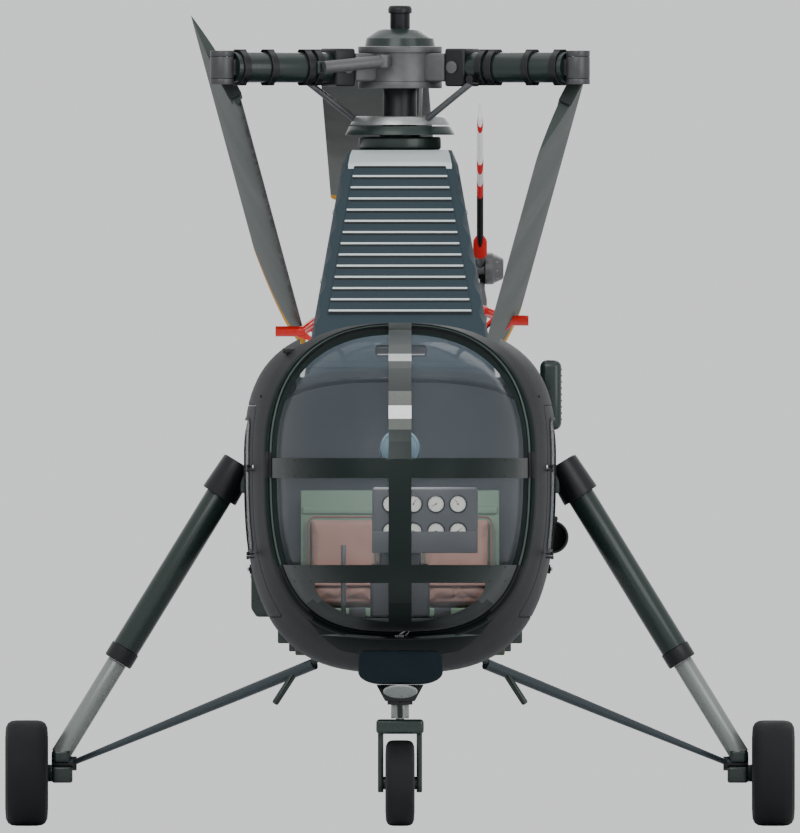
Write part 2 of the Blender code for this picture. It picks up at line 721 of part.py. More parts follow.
def build_pylon():
    """The rotor pylon's cowl and the louvred intake on its sloped front."""
    heights = (PYLON_BASE, 2.18, 2.45, 2.72, 2.99, PYLON_TOP)
    outer = loft("cowl", [pylon_section(z, 0.0) for z in heights])
    inner_heights = (PYLON_BASE - 0.2, 2.18, 2.45, 2.72, 2.99, PYLON_TOP - PYLON_WALL)
    inner = loft("cowl_inner", [pylon_section(z, PYLON_WALL) for z in inner_heights])
    cowl = cut(outer, inner, cabin_volume(-SEAT_GAP), bay_volume(-SEAT_GAP))
    mast_hole = rod("mast_hole", (0, MAST_Y, 3.0), (0, MAST_Y, 3.5), MAST_RADIUS + 0.02, 24)
    cowl = cut(cowl, mast_hole)
    finish(cowl, "pylon_cowl", "pylon")

    def face_y(z):
        return MAST_Y - 0.95 + 0.60 * (z - 2.18) / (PYLON_TOP - 2.18) - SEAT_GAP

    plate = 0.010
    pitch = (SLAT_Z[1] - SLAT_Z[0]) / (SLAT_COUNT - 1)
    low = SLAT_Z[0] - 0.02
    outline = [(face_y(low), low), (face_y(low) - plate, low)]
    for index in range(SLAT_COUNT):
        z = SLAT_Z[0] + index * pitch
        outline.append((face_y(z) - plate, z - 0.010))
        outline.append((face_y(z) - plate - SLAT_PROUD, z - 0.006))
        outline.append((face_y(z) - plate - SLAT_PROUD, z + 0.002))
        outline.append((face_y(z) - plate, z + 0.012))
    high = SLAT_Z[1] + 0.02
    outline += [(face_y(high) - plate, high), (face_y(high), high)]
    comb = side_prism("comb", outline, 0.0, 0.5)
    edge = ((0.340, SLAT_Z[0]), (0.222, SLAT_Z[1]))
    slope = (edge[1][0] - edge[0][0]) / (edge[1][1] - edge[0][1])
    foot = edge[0][0] + slope * (low - 0.05 - edge[0][1])
    head = edge[0][0] + slope * (high + 0.05 - edge[0][1])
    shape = [(-foot, low - 0.05), (foot, low - 0.05), (head, high + 0.05), (-head, high + 0.05)]
    taper = front_prism("taper", shape, (MAST_Y - 1.5, MAST_Y + 0.2))
    finish(within(comb, taper), "intake_grille", "pylon")


def build_tail():
    """The boom, and the swept fin with the tail gearbox, tailplane and skid."""
    finish(cut(boom_volume(0), boom_core()), "tail_boom", "shell")

    outline = [
        (MAST_Y + 6.98, 1.94),
        (MAST_Y + 7.70, 2.07),
        (MAST_Y + 8.72, 2.70),
        (MAST_Y + 8.90, 2.78),
        (MAST_Y + 9.22, 2.78),
        (MAST_Y + 9.26, 2.60),
        (MAST_Y + 8.62, 1.72),
        (MAST_Y + 8.32, 1.62),
        (MAST_Y + 8.10, 1.70),
    ]
    fin = side_prism("fin", outline, 0.0, 0.03)
    fin = cut(fin, boom_volume(-SEAT_GAP))
    axis = (TAIL_AXIS_Y, TAIL_AXIS_Z)
    case = [
        (0.0, 0.42),
        (0.05, 0.42),
        (0.05, 0.28),
        (0.085, 0.24),
        (0.12, 0.18),
        (0.12, 0.04),
        (0.095, 0.0),
        (0.0, 0.0),
    ]
    place = Matrix.Translation((GEARBOX_X, *axis)) @ Matrix.Rotation(math.pi / 2, 4, "Y")
    gearbox = turned("gearbox", case, 20, matrix=place)
    bore = rod("bore", (0.2, *axis), (0.5, *axis), TAIL_SHAFT_RADIUS + BEARING_GAP, 20)
    skid_points = [
        (0, MAST_Y + 8.35, 1.68),
        (0, MAST_Y + 8.75, 1.28),
        (0, MAST_Y + 9.20, 1.10),
        (0, MAST_Y + 9.55, 1.12),
    ]
    skid = tube("skid", skid_points, SKID_RADIUS)
    plane_outline = airfoil(TAILPLANE_CHORD, TAILPLANE_THICKNESS)
    turn = Matrix(((0, 0, 1, 0), (-1, 0, 0, TAILPLANE_Y), (0, 1, 0, TAILPLANE_Z), (0, 0, 0, 1)))
    plane = prism("plane", plane_outline, TAILPLANE_HALF, turn)
    fin = join(fin, gearbox, plane, skid)
    finish(cut(fin, bore, boom_volume(-SEAT_GAP)), "tail_fin", "shell")


def boom_core():
    """The boom's inside, open to the bay and closed a little before the boom's end."""
    core = boom_volume(BOOM_WALL, 0.2)
    stop_y = BOOM_END_Y - BOOM_END_WALL
    return cut(core, box("stop", (-1, stop_y, 0), (1, BOOM_END_Y + 1, 3)))


def build_steps():
    """The two-stage step low on each side of the cabin."""
    y_range = (MAST_Y - 1.62, MAST_Y - 1.30)
    for side in (PORT, STARBOARD):
        outer = mirrored_box("step", side, (0.42, 0.59), y_range, (0.876, 0.966))
        lower_y = (y_range[0] - 0.06, y_range[1])
        lower = mirrored_box("step", side, (0.30, 0.505), lower_y, (0.82, 0.93))
        bridge_y = (y_range[0] + 0.02, y_range[1] - 0.02)
        bridge = mirrored_box("step", side, (0.46, 0.535), bridge_y, (0.838, 0.886))
        step = cut(join(outer, lower, bridge), cabin_volume(-SEAT_GAP))
        finish(step, f"step_{SIDE_NAMES[side]}", "frame")


def build_main_gear():
    """Each main leg, the strut frame with its knuckle and axle, and the wheel."""
    axle_z = MAIN_TYRE_RADIUS
    for side in (PORT, STARBOARD):
        name = SIDE_NAMES[side]
        top = Vector((side * LEG_TOP[0], MAIN_GEAR_Y, LEG_TOP[1]))
        foot = Vector((side * LEG_FOOT[0], MAIN_GEAR_Y, LEG_FOOT[1]))
        length = (foot - top).length
        profile = [
            (0.0, 1.087), (0.066, 1.087), (0.072, 1.080), (0.072, 1.015), (0.0655, 1.010),
            (0.0655, 0.188), (0.0835, 0.180), (0.0835, 0.008), (0.0755, 0.0), (0.0, 0.0),
        ]
        leg = turned("leg", profile, 20, matrix=along(top, foot))
        lug = box("lug", (-0.055, -0.07, -0.20), (0.055, 0.07, 0.01))
        lug.data.transform(along(top, foot))
        reach = mirrored_box(
            "reach", side, (0.50, 0.70), (MAIN_GEAR_Y - 0.07, MAIN_GEAR_Y + 0.07), (1.80, 1.93)
        )
        leg = cut(join(leg, lug, reach), bay_volume(-SEAT_GAP))
        finish(leg, f"leg_cylinder_{name}", "frame")

        start = top.lerp(foot, (1.087 + SEAT_GAP) / length)
        piston = rod("piston", start, foot, 0.0455, 16)
        cap_front = (side * 1.618, MAIN_GEAR_Y - 0.05, 0.305)
        cap_back = (side * 1.618, MAIN_GEAR_Y + 0.05, 0.305)
        cap = rod("cap", cap_front, cap_back, 0.062, 16)
        block_y = (MAIN_GEAR_Y - 0.06, MAIN_GEAR_Y + 0.06)
        block = mirrored_box("block", side, (1.572, 1.668), block_y, (0.207, 0.30), 0.008)
        axle_start = (side * 1.62, MAIN_GEAR_Y, axle_z)
        stub = rod("stub", axle_start, (side * 1.698, MAIN_GEAR_Y, axle_z), 0.042, 16)
        axle_end = side * (MAIN_TYRE_X + 0.05)
        axle = rod("axle", axle_start, (axle_end, MAIN_GEAR_Y, axle_z), MAIN_AXLE_RADIUS, 20)
        strut_foot = (side * 1.60, MAIN_GEAR_Y, 0.293)
        pieces = [piston, cap, block, stub, axle]
        for reach_y in (-0.78, 0.20):
            inner = (side * 0.416, MAIN_GEAR_Y + reach_y, 0.774)
            pieces.append(tube("strut", [inner, strut_foot], 0.026, (0.026, 0.014)))
            lug_y = (inner[1] - 0.03, inner[1] + 0.03)
            pieces.append(mirrored_box("strut_lug", side, (0.385, 0.447), lug_y, (0.765, 0.93)))
        share = (0.505 - 0.416) / (1.60 - 0.416)
        peg_top = Vector((side * 0.505, MAIN_GEAR_Y - 0.78 * (1 - share), 0.738))
        peg_foot = Vector((side * 0.603, peg_top.y - 0.02, 0.587))
        pieces.append(rod("peg", peg_top, peg_foot, 0.018, 10))
        frame = cut(join(*pieces), bay_volume(-SEAT_GAP), cabin_volume(-SEAT_GAP))
        finish(frame, f"gear_frame_{name}", "grey_metal")

        centre = Vector((side * MAIN_TYRE_X, MAIN_GEAR_Y, axle_z))
        build_wheel(name, centre, MAIN_TYRE_RADIUS, MAIN_TYRE_WIDTH, MAIN_RIM_RADIUS, MAIN_AXLE_RADIUS)


def build_wheel(name, centre, radius, width, rim_radius, axle_radius):
    """A tyre and the wheel that it sits on, both turned about the axle's line."""
    half = width / 2
    shoulder = radius * 0.16
    place = Matrix.Translation(centre) @ Matrix.Rotation(math.pi / 2, 4, "Y")
    seat = rim_radius + SEAT_GAP
    rim_half = half * 0.72
    tyre_profile = [
        (seat, rim_half),
        (seat + 0.03, half * 0.96),
        (radius - shoulder * 1.2, half),
        (radius - shoulder * 0.3, half * 0.88),
        (radius, half * 0.60),
        (radius, -half * 0.60),
        (radius - shoulder * 0.3, -half * 0.88),
        (radius - shoulder * 1.2, -half),
        (seat + 0.03, -half * 0.96),
        (seat, -rim_half),
    ]
    tyre = turned("tyre", tyre_profile, WHEEL_STEPS, True, place)
    finish(tyre, f"tyre_{name}", "tyre", centre)
    bore = axle_radius + BEARING_GAP
    hub_radius = max(0.055, axle_radius * 2.4)
    hub_half = half * 0.62
    wheel_profile = [
        (bore, hub_half),
        (hub_radius, hub_half),
        (rim_radius * 0.8, half * 0.28),
        (rim_radius * 0.88, rim_half),
        (rim_radius, rim_half),
        (rim_radius, -rim_half),
        (rim_radius * 0.88, -rim_half),
        (rim_radius * 0.8, -half * 0.28),
        (hub_radius, -hub_half),
        (bore, -hub_half),
    ]
    wheel = turned("wheel", wheel_profile, WHEEL_STEPS, True, place)
    finish(wheel, f"wheel_{name}", "black_metal", centre)


def build_nose_gear():
    """The fairing under the nose, the leg with its lamp, the castoring fork and its wheel."""
    y = NOSE_GEAR_Y
    fairing = box("fairing", (-0.202, y - 0.24, 0.680), (0.207, y + 0.24, 1.02), 0.045, 3)
    fairing = cut(fairing, dome_volume(-SEAT_GAP, 0.05), cabin_volume(-SEAT_GAP, 0.1))
    finish(fairing, "nose_fairing", "frame")

    outline = [(-0.115, 0.6797), (-0.072, 0.600), (0.072, 0.600), (0.115, 0.6797)]
    bracket = front_prism("bracket", outline, (y - 0.09, y + 0.12))
    block = box("block", (-0.058, y - 0.06, 0.575), (0.058, y + 0.06, 0.62))
    sleeve = rod("sleeve", (0, y, 0.520), (0, y, 0.60), 0.043, 20)
    leg = join(bracket, block, sleeve)
    leg = cut(leg, rod("bore", (0, y, 0.45), (0, y, 0.605), SPINDLE_RADIUS + BEARING_GAP, 20))
    finish(leg, "nose_leg", "frame")

    lamp_profile = [
        (0.0, 0.06),
        (0.03, 0.055),
        (0.06, 0.035),
        (0.0795, 0.0),
        (0.0795, -0.012),
        (0.068, -0.018),
        (0.0, -0.018),
    ]
    lamp_tilt = Matrix.Rotation(math.radians(-23), 4, "X")
    lamp_place = Matrix.Translation((0.002, y - 0.175, 0.638)) @ lamp_tilt
    lamp = turned("lamp", lamp_profile, 20, matrix=lamp_place)
    arm = box("arm", (-0.02, y - 0.18, 0.645), (0.02, y - 0.10, 0.6797))
    lamp = cut(join(lamp, arm), box("trim", (-0.3, y - 0.4, 0.6797), (0.3, y + 0.4, 0.9)))
    lamp = cut(lamp, box("trim", (-0.3, y - 0.09 - SEAT_GAP, 0.5), (0.3, y + 0.4, 0.9)))
    finish(lamp, "landing_lamp", "glass")

    pivot = (0.0, y, NOSE_TYRE_RADIUS)
    axle_y = y + NOSE_TRAIL
    crown = box("crown", (-0.111, y - 0.05, 0.442), (0.111, y + 0.10, 0.514), 0.014, 2)
    spindle = rod("spindle", (0, y, 0.48), (0, y, 0.600), SPINDLE_RADIUS, 20)
    axle_ends = [(x, axle_y, NOSE_TYRE_RADIUS) for x in (-0.122, 0.122)]
    axle = rod("axle", *axle_ends, NOSE_AXLE_RADIUS, 20)
    pieces = [crown, spindle]
    for side in (PORT, STARBOARD):
        prong_y = (axle_y - 0.035, axle_y + 0.035)
        pieces.append(mirrored_box("prong", side, (0.079, 0.107), prong_y, (0.165, 0.46)))
        cap_ends = [(side * x, axle_y, NOSE_TYRE_RADIUS) for x in (0.100, 0.116)]
        pieces.append(rod("cap", *cap_ends, 0.026, 12))
    pieces.append(axle)
    finish(join(*pieces), "nose_fork", "frame", pivot)
    centre = Vector((0.0, axle_y, NOSE_TYRE_RADIUS))
    build_wheel("nose", centre, NOSE_TYRE_RADIUS, NOSE_TYRE_WIDTH, NOSE_RIM_RADIUS, NOSE_AXLE_RADIUS)


def build_rotor_head():
    """The fixed swash ring, the turning mast, cap, hub and upper ring with its links."""
    fixed_profile = [
        (MAST_RADIUS + BEARING_GAP, 3.365),
        (0.240, 3.365),
        (0.258, 3.350),
        (0.258, 3.335),
        (0.240, 3.322),
        (0.12, 3.322),
        (0.12, 3.312),
        (0.192, 3.306),
        (0.197, 3.298),
        (0.197, PYLON_TOP + SEAT_GAP),
        (MAST_RADIUS + BEARING_GAP, PYLON_TOP + SEAT_GAP),
    ]
    at_mast = Matrix.Translation((0, MAST_Y, 0))
    fixed = turned("fixed_ring", fixed_profile, 24, True, at_mast)
    finish(fixed, "swashplate_lower", "frame")

    stem = STEM_RADIUS
    mast_profile = [
        (0.0, 3.945), (0.05, 3.945), (0.057, 3.938), (0.057, 3.912), (0.048, 3.905), (0.048, 3.835),
        (0.095, 3.828), (0.14, 3.800), (0.160, 3.784), (0.168, 3.780), (0.168, 3.748 + SEAT_GAP),
        (stem, 3.748 + SEAT_GAP), (stem, 3.546 - SEAT_GAP), (MAST_RADIUS, 3.546 - SEAT_GAP),
        (MAST_RADIUS, 2.052), (0.0, 2.052),
    ]
    pivot = (0, MAST_Y, HUB_Z)
    mast = turned("mast", mast_profile, 24, matrix=at_mast)
    finish(mast, "rotor_mast", "black_metal", pivot)

    hub_profile = [
        (stem + SEAT_GAP, 3.748),
        (0.196, 3.748),
        (HUB_RADIUS, 3.742),
        (HUB_RADIUS, 3.552),
        (0.196, 3.546),
        (stem + SEAT_GAP, 3.546),
    ]
    hub = turned("hub", hub_profile, 24, True, at_mast)
    for azimuth in ARM_AZIMUTHS.values():
        spin = arm_frame(azimuth)
        lug = box("lug", (0.17, -0.07, -0.075), (0.245, 0.07, 0.075))
        lug.data.transform(spin)
        hub = join(hub, lug)
        ear = box("ear", (0.17, -0.03, -0.002), (DAMPER_REACH, 0.03, 0.062))
        boss = rod("boss", (DAMPER_REACH, 0, -0.01), (DAMPER_REACH, 0, 0.075), EAR_RADIUS, 12)
        ear = join(ear, boss)
        ear.data.transform(arm_frame(azimuth + DAMPER_TURN))
        hub = join(hub, ear)
    finish(hub, "rotor_hub", "grey_metal", pivot)

    upper_profile = [
        (MAST_RADIUS + SEAT_GAP, 3.413),
        (0.218, 3.413),
        (0.221, 3.410),
        (0.240, 3.3704),
        (MAST_RADIUS + SEAT_GAP, 3.3704),
    ]
    upper = turned("upper_ring", upper_profile, 24, True, at_mast)
    for azimuth in ARM_AZIMUTHS.values():
        foot = polar(0.222, azimuth - 23.5, 3.400)
        head = arm_frame(azimuth) @ Vector((0.45, -0.095, -0.075))
        upper = join(upper, rod("link", foot, head, 0.015, 8))
    finish(upper, "swashplate_upper", "grey_metal", pivot)


def polar(radius, azimuth, z):
    """A point at a radius and azimuth about the mast."""
    angle = math.radians(azimuth)
    return Vector((radius * math.cos(angle), MAST_Y + radius * math.sin(angle), z))


def arm_frame(azimuth):
    """A frame at the hub's centre whose +X runs out along an arm."""
    turn = Matrix.Rotation(math.radians(azimuth), 4, "Z")
    return Matrix.Translation((0, MAST_Y, HUB_Z)) @ turn


def build_arm(name, azimuth):
    """A rotor arm: hinge block, ringed sleeve, blade eye, pitch horn and damper."""
    block = box("block", (0.2453, -0.08, -0.089), (0.39, 0.08, 0.089))
    ring_spans = ((0.419, 0.455), (0.476, 0.516), (0.681, 0.744), (0.826, 0.884))
    profile = [(0.0, 0.905)]
    radius, ring_radius = 0.0735, 0.086
    profile.append((radius, 0.905))
    for start, end in reversed(ring_spans):
        profile += [(radius, end), (ring_radius, end), (ring_radius, start), (radius, start)]
    profile += [(radius, 0.36), (0.0, 0.36)]
    lay = Matrix.Rotation(math.pi / 2, 4, "Y")
    sleeve = turned("sleeve", profile, 14, matrix=lay)
    tongue = box("tongue", (0.88, -0.036, -0.040), (PIN_REACH, 0.036, 0.040))
    eye = rod("eye", (PIN_REACH, 0, -0.048), (PIN_REACH, 0, 0.048), EYE_RADIUS)
    horn = box("horn", (0.425, -0.115, -0.060), (0.475, 0.0, -0.030))
    damper_head = (0.50, 0.10, 0.0)
    damper = rod("damper", damper_head, damper_foot(damper_head), 0.028, 10)
    clevis = box("clevis", (0.47, 0.0, -0.035), (0.53, 0.11, 0.035))
    arm = join(block, sleeve, tongue, eye, horn, clevis, damper)
    bore = rod("bore", (PIN_REACH, 0, -0.2), (PIN_REACH, 0, 0.2), PIN_RADIUS + BEARING_GAP, 16)
    arm = cut(arm, bore)
    arm.data.transform(arm_frame(azimuth))
    finish(arm, f"rotor_arm_{name}", "frame", (0, MAST_Y, HUB_Z))


def damper_foot(start):
    """Where a damper stops short of its ear on the hub, in the arm's frame."""
    angle = math.radians(DAMPER_TURN)
    ear = Vector((DAMPER_REACH * math.cos(angle), DAMPER_REACH * math.sin(angle), 0.036))
    way = (Vector(start) - ear).normalized()
    return ear + way * (EAR_RADIUS + 0.004)


def airfoil(chord, thickness, count=7):
    """A symmetric wing section: (along the chord from the quarter point, height)."""
    upper = []
    for index in range(count):
        share = (1 - math.cos(math.pi * index / (count - 1))) / 2
        shape = 2.969 * math.sqrt(share) - 1.26 * share - 3.516 * share**2
        shape += 2.843 * share**3 - 1.036 * share**4
        upper.append(((QUARTER - share) * chord, shape * thickness / 2))
    lower = [(x, -z) for x, z in reversed(upper[1:-1])]
    return upper + lower


def blade_frame(name):
    """A blade's frame: origin on its pin, +X out along the blade, +Y to its leading edge."""
    azimuth = ARM_AZIMUTHS[name]
    pin = polar(PIN_REACH, azimuth, HUB_Z)
    if name == "aft":
        way = Vector((0.07, 6.41, -0.57)).normalized()
        edge = Vector((1.0, 0.0, 0.0))
    else:
        side = PORT if name == "port" else STARBOARD
        way = Vector((-side * 0.346, 6.2, -1.20)).normalized()
        lead = 0.522
        edge = Vector((lead, 0.0, side * math.sqrt(1 - lead**2)))
    edge = (edge - way * edge.dot(way)).normalized()
    normal = way.cross(edge)
    rotation = Matrix((way, edge, normal)).transposed().to_4x4()
    return pin, rotation


def blade_axis_start(name):
    """Where the blade's quarter-chord line passes its pin."""
    pin, _ = blade_frame(name)
    if name == "aft":
        return pin + Vector((0.015, 0.0, -0.03))
    side = PORT if name == "port" else STARBOARD
    return pin + Vector((-side * 0.022, 0.0, -0.045))


def build_blade(name):
    """A blade with its root fitting, held by a pin through the arm's eye."""
    pin, rotation = blade_frame(name)
    start = blade_axis_start(name)
    stations = ((BLADE_ROOT, 0.985), (0.45, 1.0), (BLADE_SPAN - 0.20, 1.0), (BLADE_SPAN - 0.10, 0.95))
    stations += ((BLADE_SPAN - 0.04, 0.80), (BLADE_SPAN, 0.50))
    rings = []
    for reach, share in stations:
        outline = airfoil(CHORD * share, BLADE_THICKNESS * share)
        shift = (1 - share) * CHORD * 0.20
        rings.append([(reach, y - shift, z) for y, z in outline])
    blade = loft("blade", rings)
    cuff = box("cuff", (0.165, -0.11, -0.040), (0.52, 0.085, 0.040))
    blade = join(blade, cuff)
    blade.data.transform(Matrix.Translation(start) @ rotation)

    flat_way = Vector((rotation[0][0], rotation[1][0], 0.0)).normalized()
    outboard = {"port": 1, "starboard": -1, "aft": 1}[name]
    across = Vector((outboard * flat_way.y, -outboard * flat_way.x, 0.0))
    level = Matrix((flat_way, across, Vector((0, 0, 1)))).transposed().to_4x4()
    root_place = Matrix.Translation(pin) @ level
    low_edge = -0.012
    web = box("web", (0.068, low_edge, -0.0805), (0.24, EYE_RADIUS, 0.0805))
    web.data.transform(root_place)
    pieces = [web]
    for low in (-0.0815, 0.0535):
        plate_low = low + 0.002
        plate_high = (0.10, EYE_RADIUS - 0.004, plate_low + 0.024)
        plate = box("plate", (0.0, low_edge + 0.002, plate_low), plate_high)
        plate.data.transform(root_place)
        disc = rod("disc", pin + Vector((0, 0, low)), pin + Vector((0, 0, low + 0.028)), EYE_RADIUS)
        pieces += [plate, disc]
    pieces.append(rod("pin", pin - Vector((0, 0, 0.07)), pin + Vector((0, 0, 0.07)), PIN_RADIUS))
    finish(join(blade, *pieces), f"blade_{name}", "blade", pin)


def build_fold_strut(name):
    """The red strut that steadies a folded blade: a clamp, a cross bar and a foot."""
    side = PORT if name == "port" else STARBOARD
    pin, rotation = blade_frame(name)
    start = blade_axis_start(name)
    blade_place = Matrix.Translation(start) @ rotation
    reach = 5.95
    crossing = {"port": -0.035, "starboard": 0.094}[name]
    clamp = box("clamp", (reach - 0.035, crossing - 0.04, -0.042), (reach + 0.035, 0.150, 0.042))
    clamp.data.transform(blade_place)
    middle = blade_place @ Vector((reach, crossing, 0.0))
    outer = middle + Vector((side * 0.14, 0.0, 0.0))
    inner = middle + Vector((-side * 0.07, 0.0, 0.05))
    centre = Vector((side * 0.045, middle.y, inner.z + 0.10))
    foot = Vector((side * 0.045, middle.y, 2.005))
    bar = tube("bar", [outer, middle, inner, centre], 0.024)
    post = rod("post", foot, centre, 0.016, 8)
    brace_top = middle + Vector((-side * 0.03, 0.0, 0.015))
    brace = rod("brace", brace_top, foot + Vector((side * 0.004, 0, 0.06)), 0.013, 8)
    strut = join(clamp, bar, post, brace)
    slack = 0.0006
    slot_outline = airfoil(CHORD + 4 * slack, BLADE_THICKNESS + 2 * slack)
    rings = [[(x, y, z) for y, z in slot_outline] for x in (reach - 0.4, reach + 0.30)]
    slot = loft("slot", rings)
    slot.data.transform(blade_place)
    finish(cut(strut, slot), f"fold_strut_{name}", "rotor_red", pin)


def build_tail_rotor():
    """The three-blade tail rotor on the port side of the fin."""
    place = Matrix.Translation((0, TAIL_AXIS_Y, TAIL_AXIS_Z)) @ Matrix.Rotation(math.pi / 2, 4, "Y")
    profile = [
        (0.0, 0.498),
        (0.045, 0.498),
        (0.053, 0.492),
        (0.070, 0.452),
        (0.077, 0.447),
        (0.077, 0.409),
        (0.050, 0.405),
        (0.050, 0.350),
        (TAIL_SHAFT_RADIUS, 0.345),
        (TAIL_SHAFT_RADIUS, 0.235),
        (0.0, 0.235),
    ]
    rotor = turned("tail_hub", profile, matrix=place)
    stations = (
        (0.22, 0.85),
        (0.34, 1.0),
        (TAIL_RADIUS - 0.08, 1.0),
        (TAIL_RADIUS - 0.02, 0.8),
        (TAIL_RADIUS, 0.5),
    )
    cuff_profile = [
        (0.0, 0.30),
        (0.018, 0.30),
        (0.034, 0.25),
        (0.034, 0.15),
        (0.024, 0.10),
        (0.024, 0.02),
        (0.0, 0.02),
    ]
    rings = []
    for reach, share in stations:
        rings.append([(z, y, reach) for y, z in airfoil(TAIL_CHORD * share, 0.032 * share, 6)])
    for index in range(3):
        blade = loft("tail_blade", rings)
        blade = join(blade, turned("cuff", cuff_profile, 10))
        turn = Matrix.Rotation(math.radians(180 + TAIL_PHASE + 120 * index), 4, "X")
        blade.data.transform(Matrix.Translation((TAIL_PLANE_X, TAIL_AXIS_Y, TAIL_AXIS_Z)) @ turn)
        rotor = join(rotor, blade)
    finish(rotor, "tail_rotor", "black_metal", (TAIL_PLANE_X, TAIL_AXIS_Y, TAIL_AXIS_Z))


def hide_cutters():
    """Show what is left of the cutters as wires only."""
    for obj in CUTTERS.objects:
        obj.hide_render = True
        obj.display_type = "WIRE"


def parent_bodies():
    """Parent every sub-part to an empty that stands for its body."""
    bodies = {
        "main_rotor": (
            (0, MAST_Y, HUB_Z),
            ("rotor_mast", "rotor_hub", "swashplate_upper", "rotor_arm", "blade_aft"),
        ),
        "blade_fold_port": (
            polar(PIN_REACH, ARM_AZIMUTHS["port"], HUB_Z),
            ("blade_port", "fold_strut_port"),
        ),
        "blade_fold_starboard": (
            polar(PIN_REACH, ARM_AZIMUTHS["starboard"], HUB_Z),
            ("blade_starboard", "fold_strut_starboard"),
        ),
        "airframe": ((0, 0, 0), ("",)),
    }
    empties = {}
    for name, (place, _) in bodies.items():
        empty = bpy.data.objects.new(f"{name}_axis", None)
        empty.location = place
        PARTS.objects.link(empty)
        empties[name] = empty
    bpy.context.view_layer.update()
    for obj in list(PARTS.objects):
        if obj.type != "MESH":
            continue
        body = next(key for key, (_, starts) in bodies.items() if obj.name.startswith(tuple(starts)))
        obj.parent = empties[body]
        obj.matrix_parent_inverse = empties[body].matrix_world.inverted()


def main():
    """Build the helicopter from nose to tail."""
    build_nose()
    build_cabin()
    build_interior()
    build_engine_bay()
    build_pylon()
    build_tail()
    build_steps()
    build_main_gear()
    build_nose_gear()
    build_rotor_head()
    for name, azimuth in ARM_AZIMUTHS.items():
        build_arm(name, azimuth)
        build_blade(name)
    for name in ("port", "starboard"):
        build_fold_strut(name)
    build_tail_rotor()
    hide_cutters()
    parent_bodies()


main()
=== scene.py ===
"""The looks of a light helicopter parked on its wheels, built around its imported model.

Metres, +Z up, nose towards -Y, the craft's port side towards +X. Every finished piece
lies at the origin with its place in its mesh, and rides on one moving body.
"""

import json
import logging
import math
from collections.abc import Callable, Iterable, Sequence
from dataclasses import dataclass
from enum import Enum

import bmesh
import bpy
from mathutils import Matrix, Vector


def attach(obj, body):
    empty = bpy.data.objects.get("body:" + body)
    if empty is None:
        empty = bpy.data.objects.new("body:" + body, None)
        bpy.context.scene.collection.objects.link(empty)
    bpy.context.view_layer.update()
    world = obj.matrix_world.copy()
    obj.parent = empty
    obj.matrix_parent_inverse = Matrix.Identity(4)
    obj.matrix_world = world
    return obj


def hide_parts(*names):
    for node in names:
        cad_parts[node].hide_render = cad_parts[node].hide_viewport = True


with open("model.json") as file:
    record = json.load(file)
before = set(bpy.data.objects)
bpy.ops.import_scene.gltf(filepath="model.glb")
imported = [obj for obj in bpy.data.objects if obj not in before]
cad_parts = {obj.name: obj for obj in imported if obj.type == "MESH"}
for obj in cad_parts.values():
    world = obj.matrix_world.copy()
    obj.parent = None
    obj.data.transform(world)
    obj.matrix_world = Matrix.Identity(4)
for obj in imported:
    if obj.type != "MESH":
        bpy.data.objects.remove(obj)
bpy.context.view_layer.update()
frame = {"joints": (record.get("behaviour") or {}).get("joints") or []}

LOG = logging.getLogger("helicopter")
JOINTS = {joint["name"]: Vector(joint["pos_m"]) for joint in frame["joints"]}
MAST = JOINTS["main_rotor_spin"]
TAIL_AXIS = JOINTS["tail_rotor_spin"]
Color = tuple[float, float, float, float]
Point2 = tuple[float, float]
Socket = bpy.types.NodeSocket
Object = bpy.types.Object
Shape = bmesh.types.BMesh
SHARP_ANGLE = 35.0
MERGE_DISTANCE = 0.00001
CLEARANCE = 0.0003
PHOTO_HEIGHT, GROUND_ROW, PIXELS_PER_METRE = 833, 826, 208
AT_MAST = Matrix.Translation((0, MAST.y, 0))
AT_TAIL = Matrix.Translation((0, TAIL_AXIS.y, TAIL_AXIS.z))
UP_TO_SIDE = Matrix.Rotation(math.pi / 2, 4, "Y")
UP_TO_BACK = Matrix.Rotation(-math.pi / 2, 4, "X")
HALF_TURN = Matrix.Rotation(math.pi, 4, "Z")


class Side(Enum):
    """The two sides of the craft; the value is the sign of X."""

    PORT = 1
    STARBOARD = -1

    @property
    def label(self) -> str:
        """The side's name as the nodes spell it."""
        return self.name.lower()


def tint(red: int, green: int, blue: int) -> Color:
    """Turn a colour as a screen shows it into the linear values that a shader takes."""
    shares = (value / 255 for value in (red, green, blue))
    linear = (s / 12.92 if s <= 0.04045 else ((s + 0.055) / 1.055) ** 2.4 for s in shares)
    return (*linear, 1.0)


def dimmed(color: Color, share: float) -> Color:
    """Scale a colour's brightness, held below white."""
    return (*(min(value * share, 1.0) for value in color[:3]), 1.0)


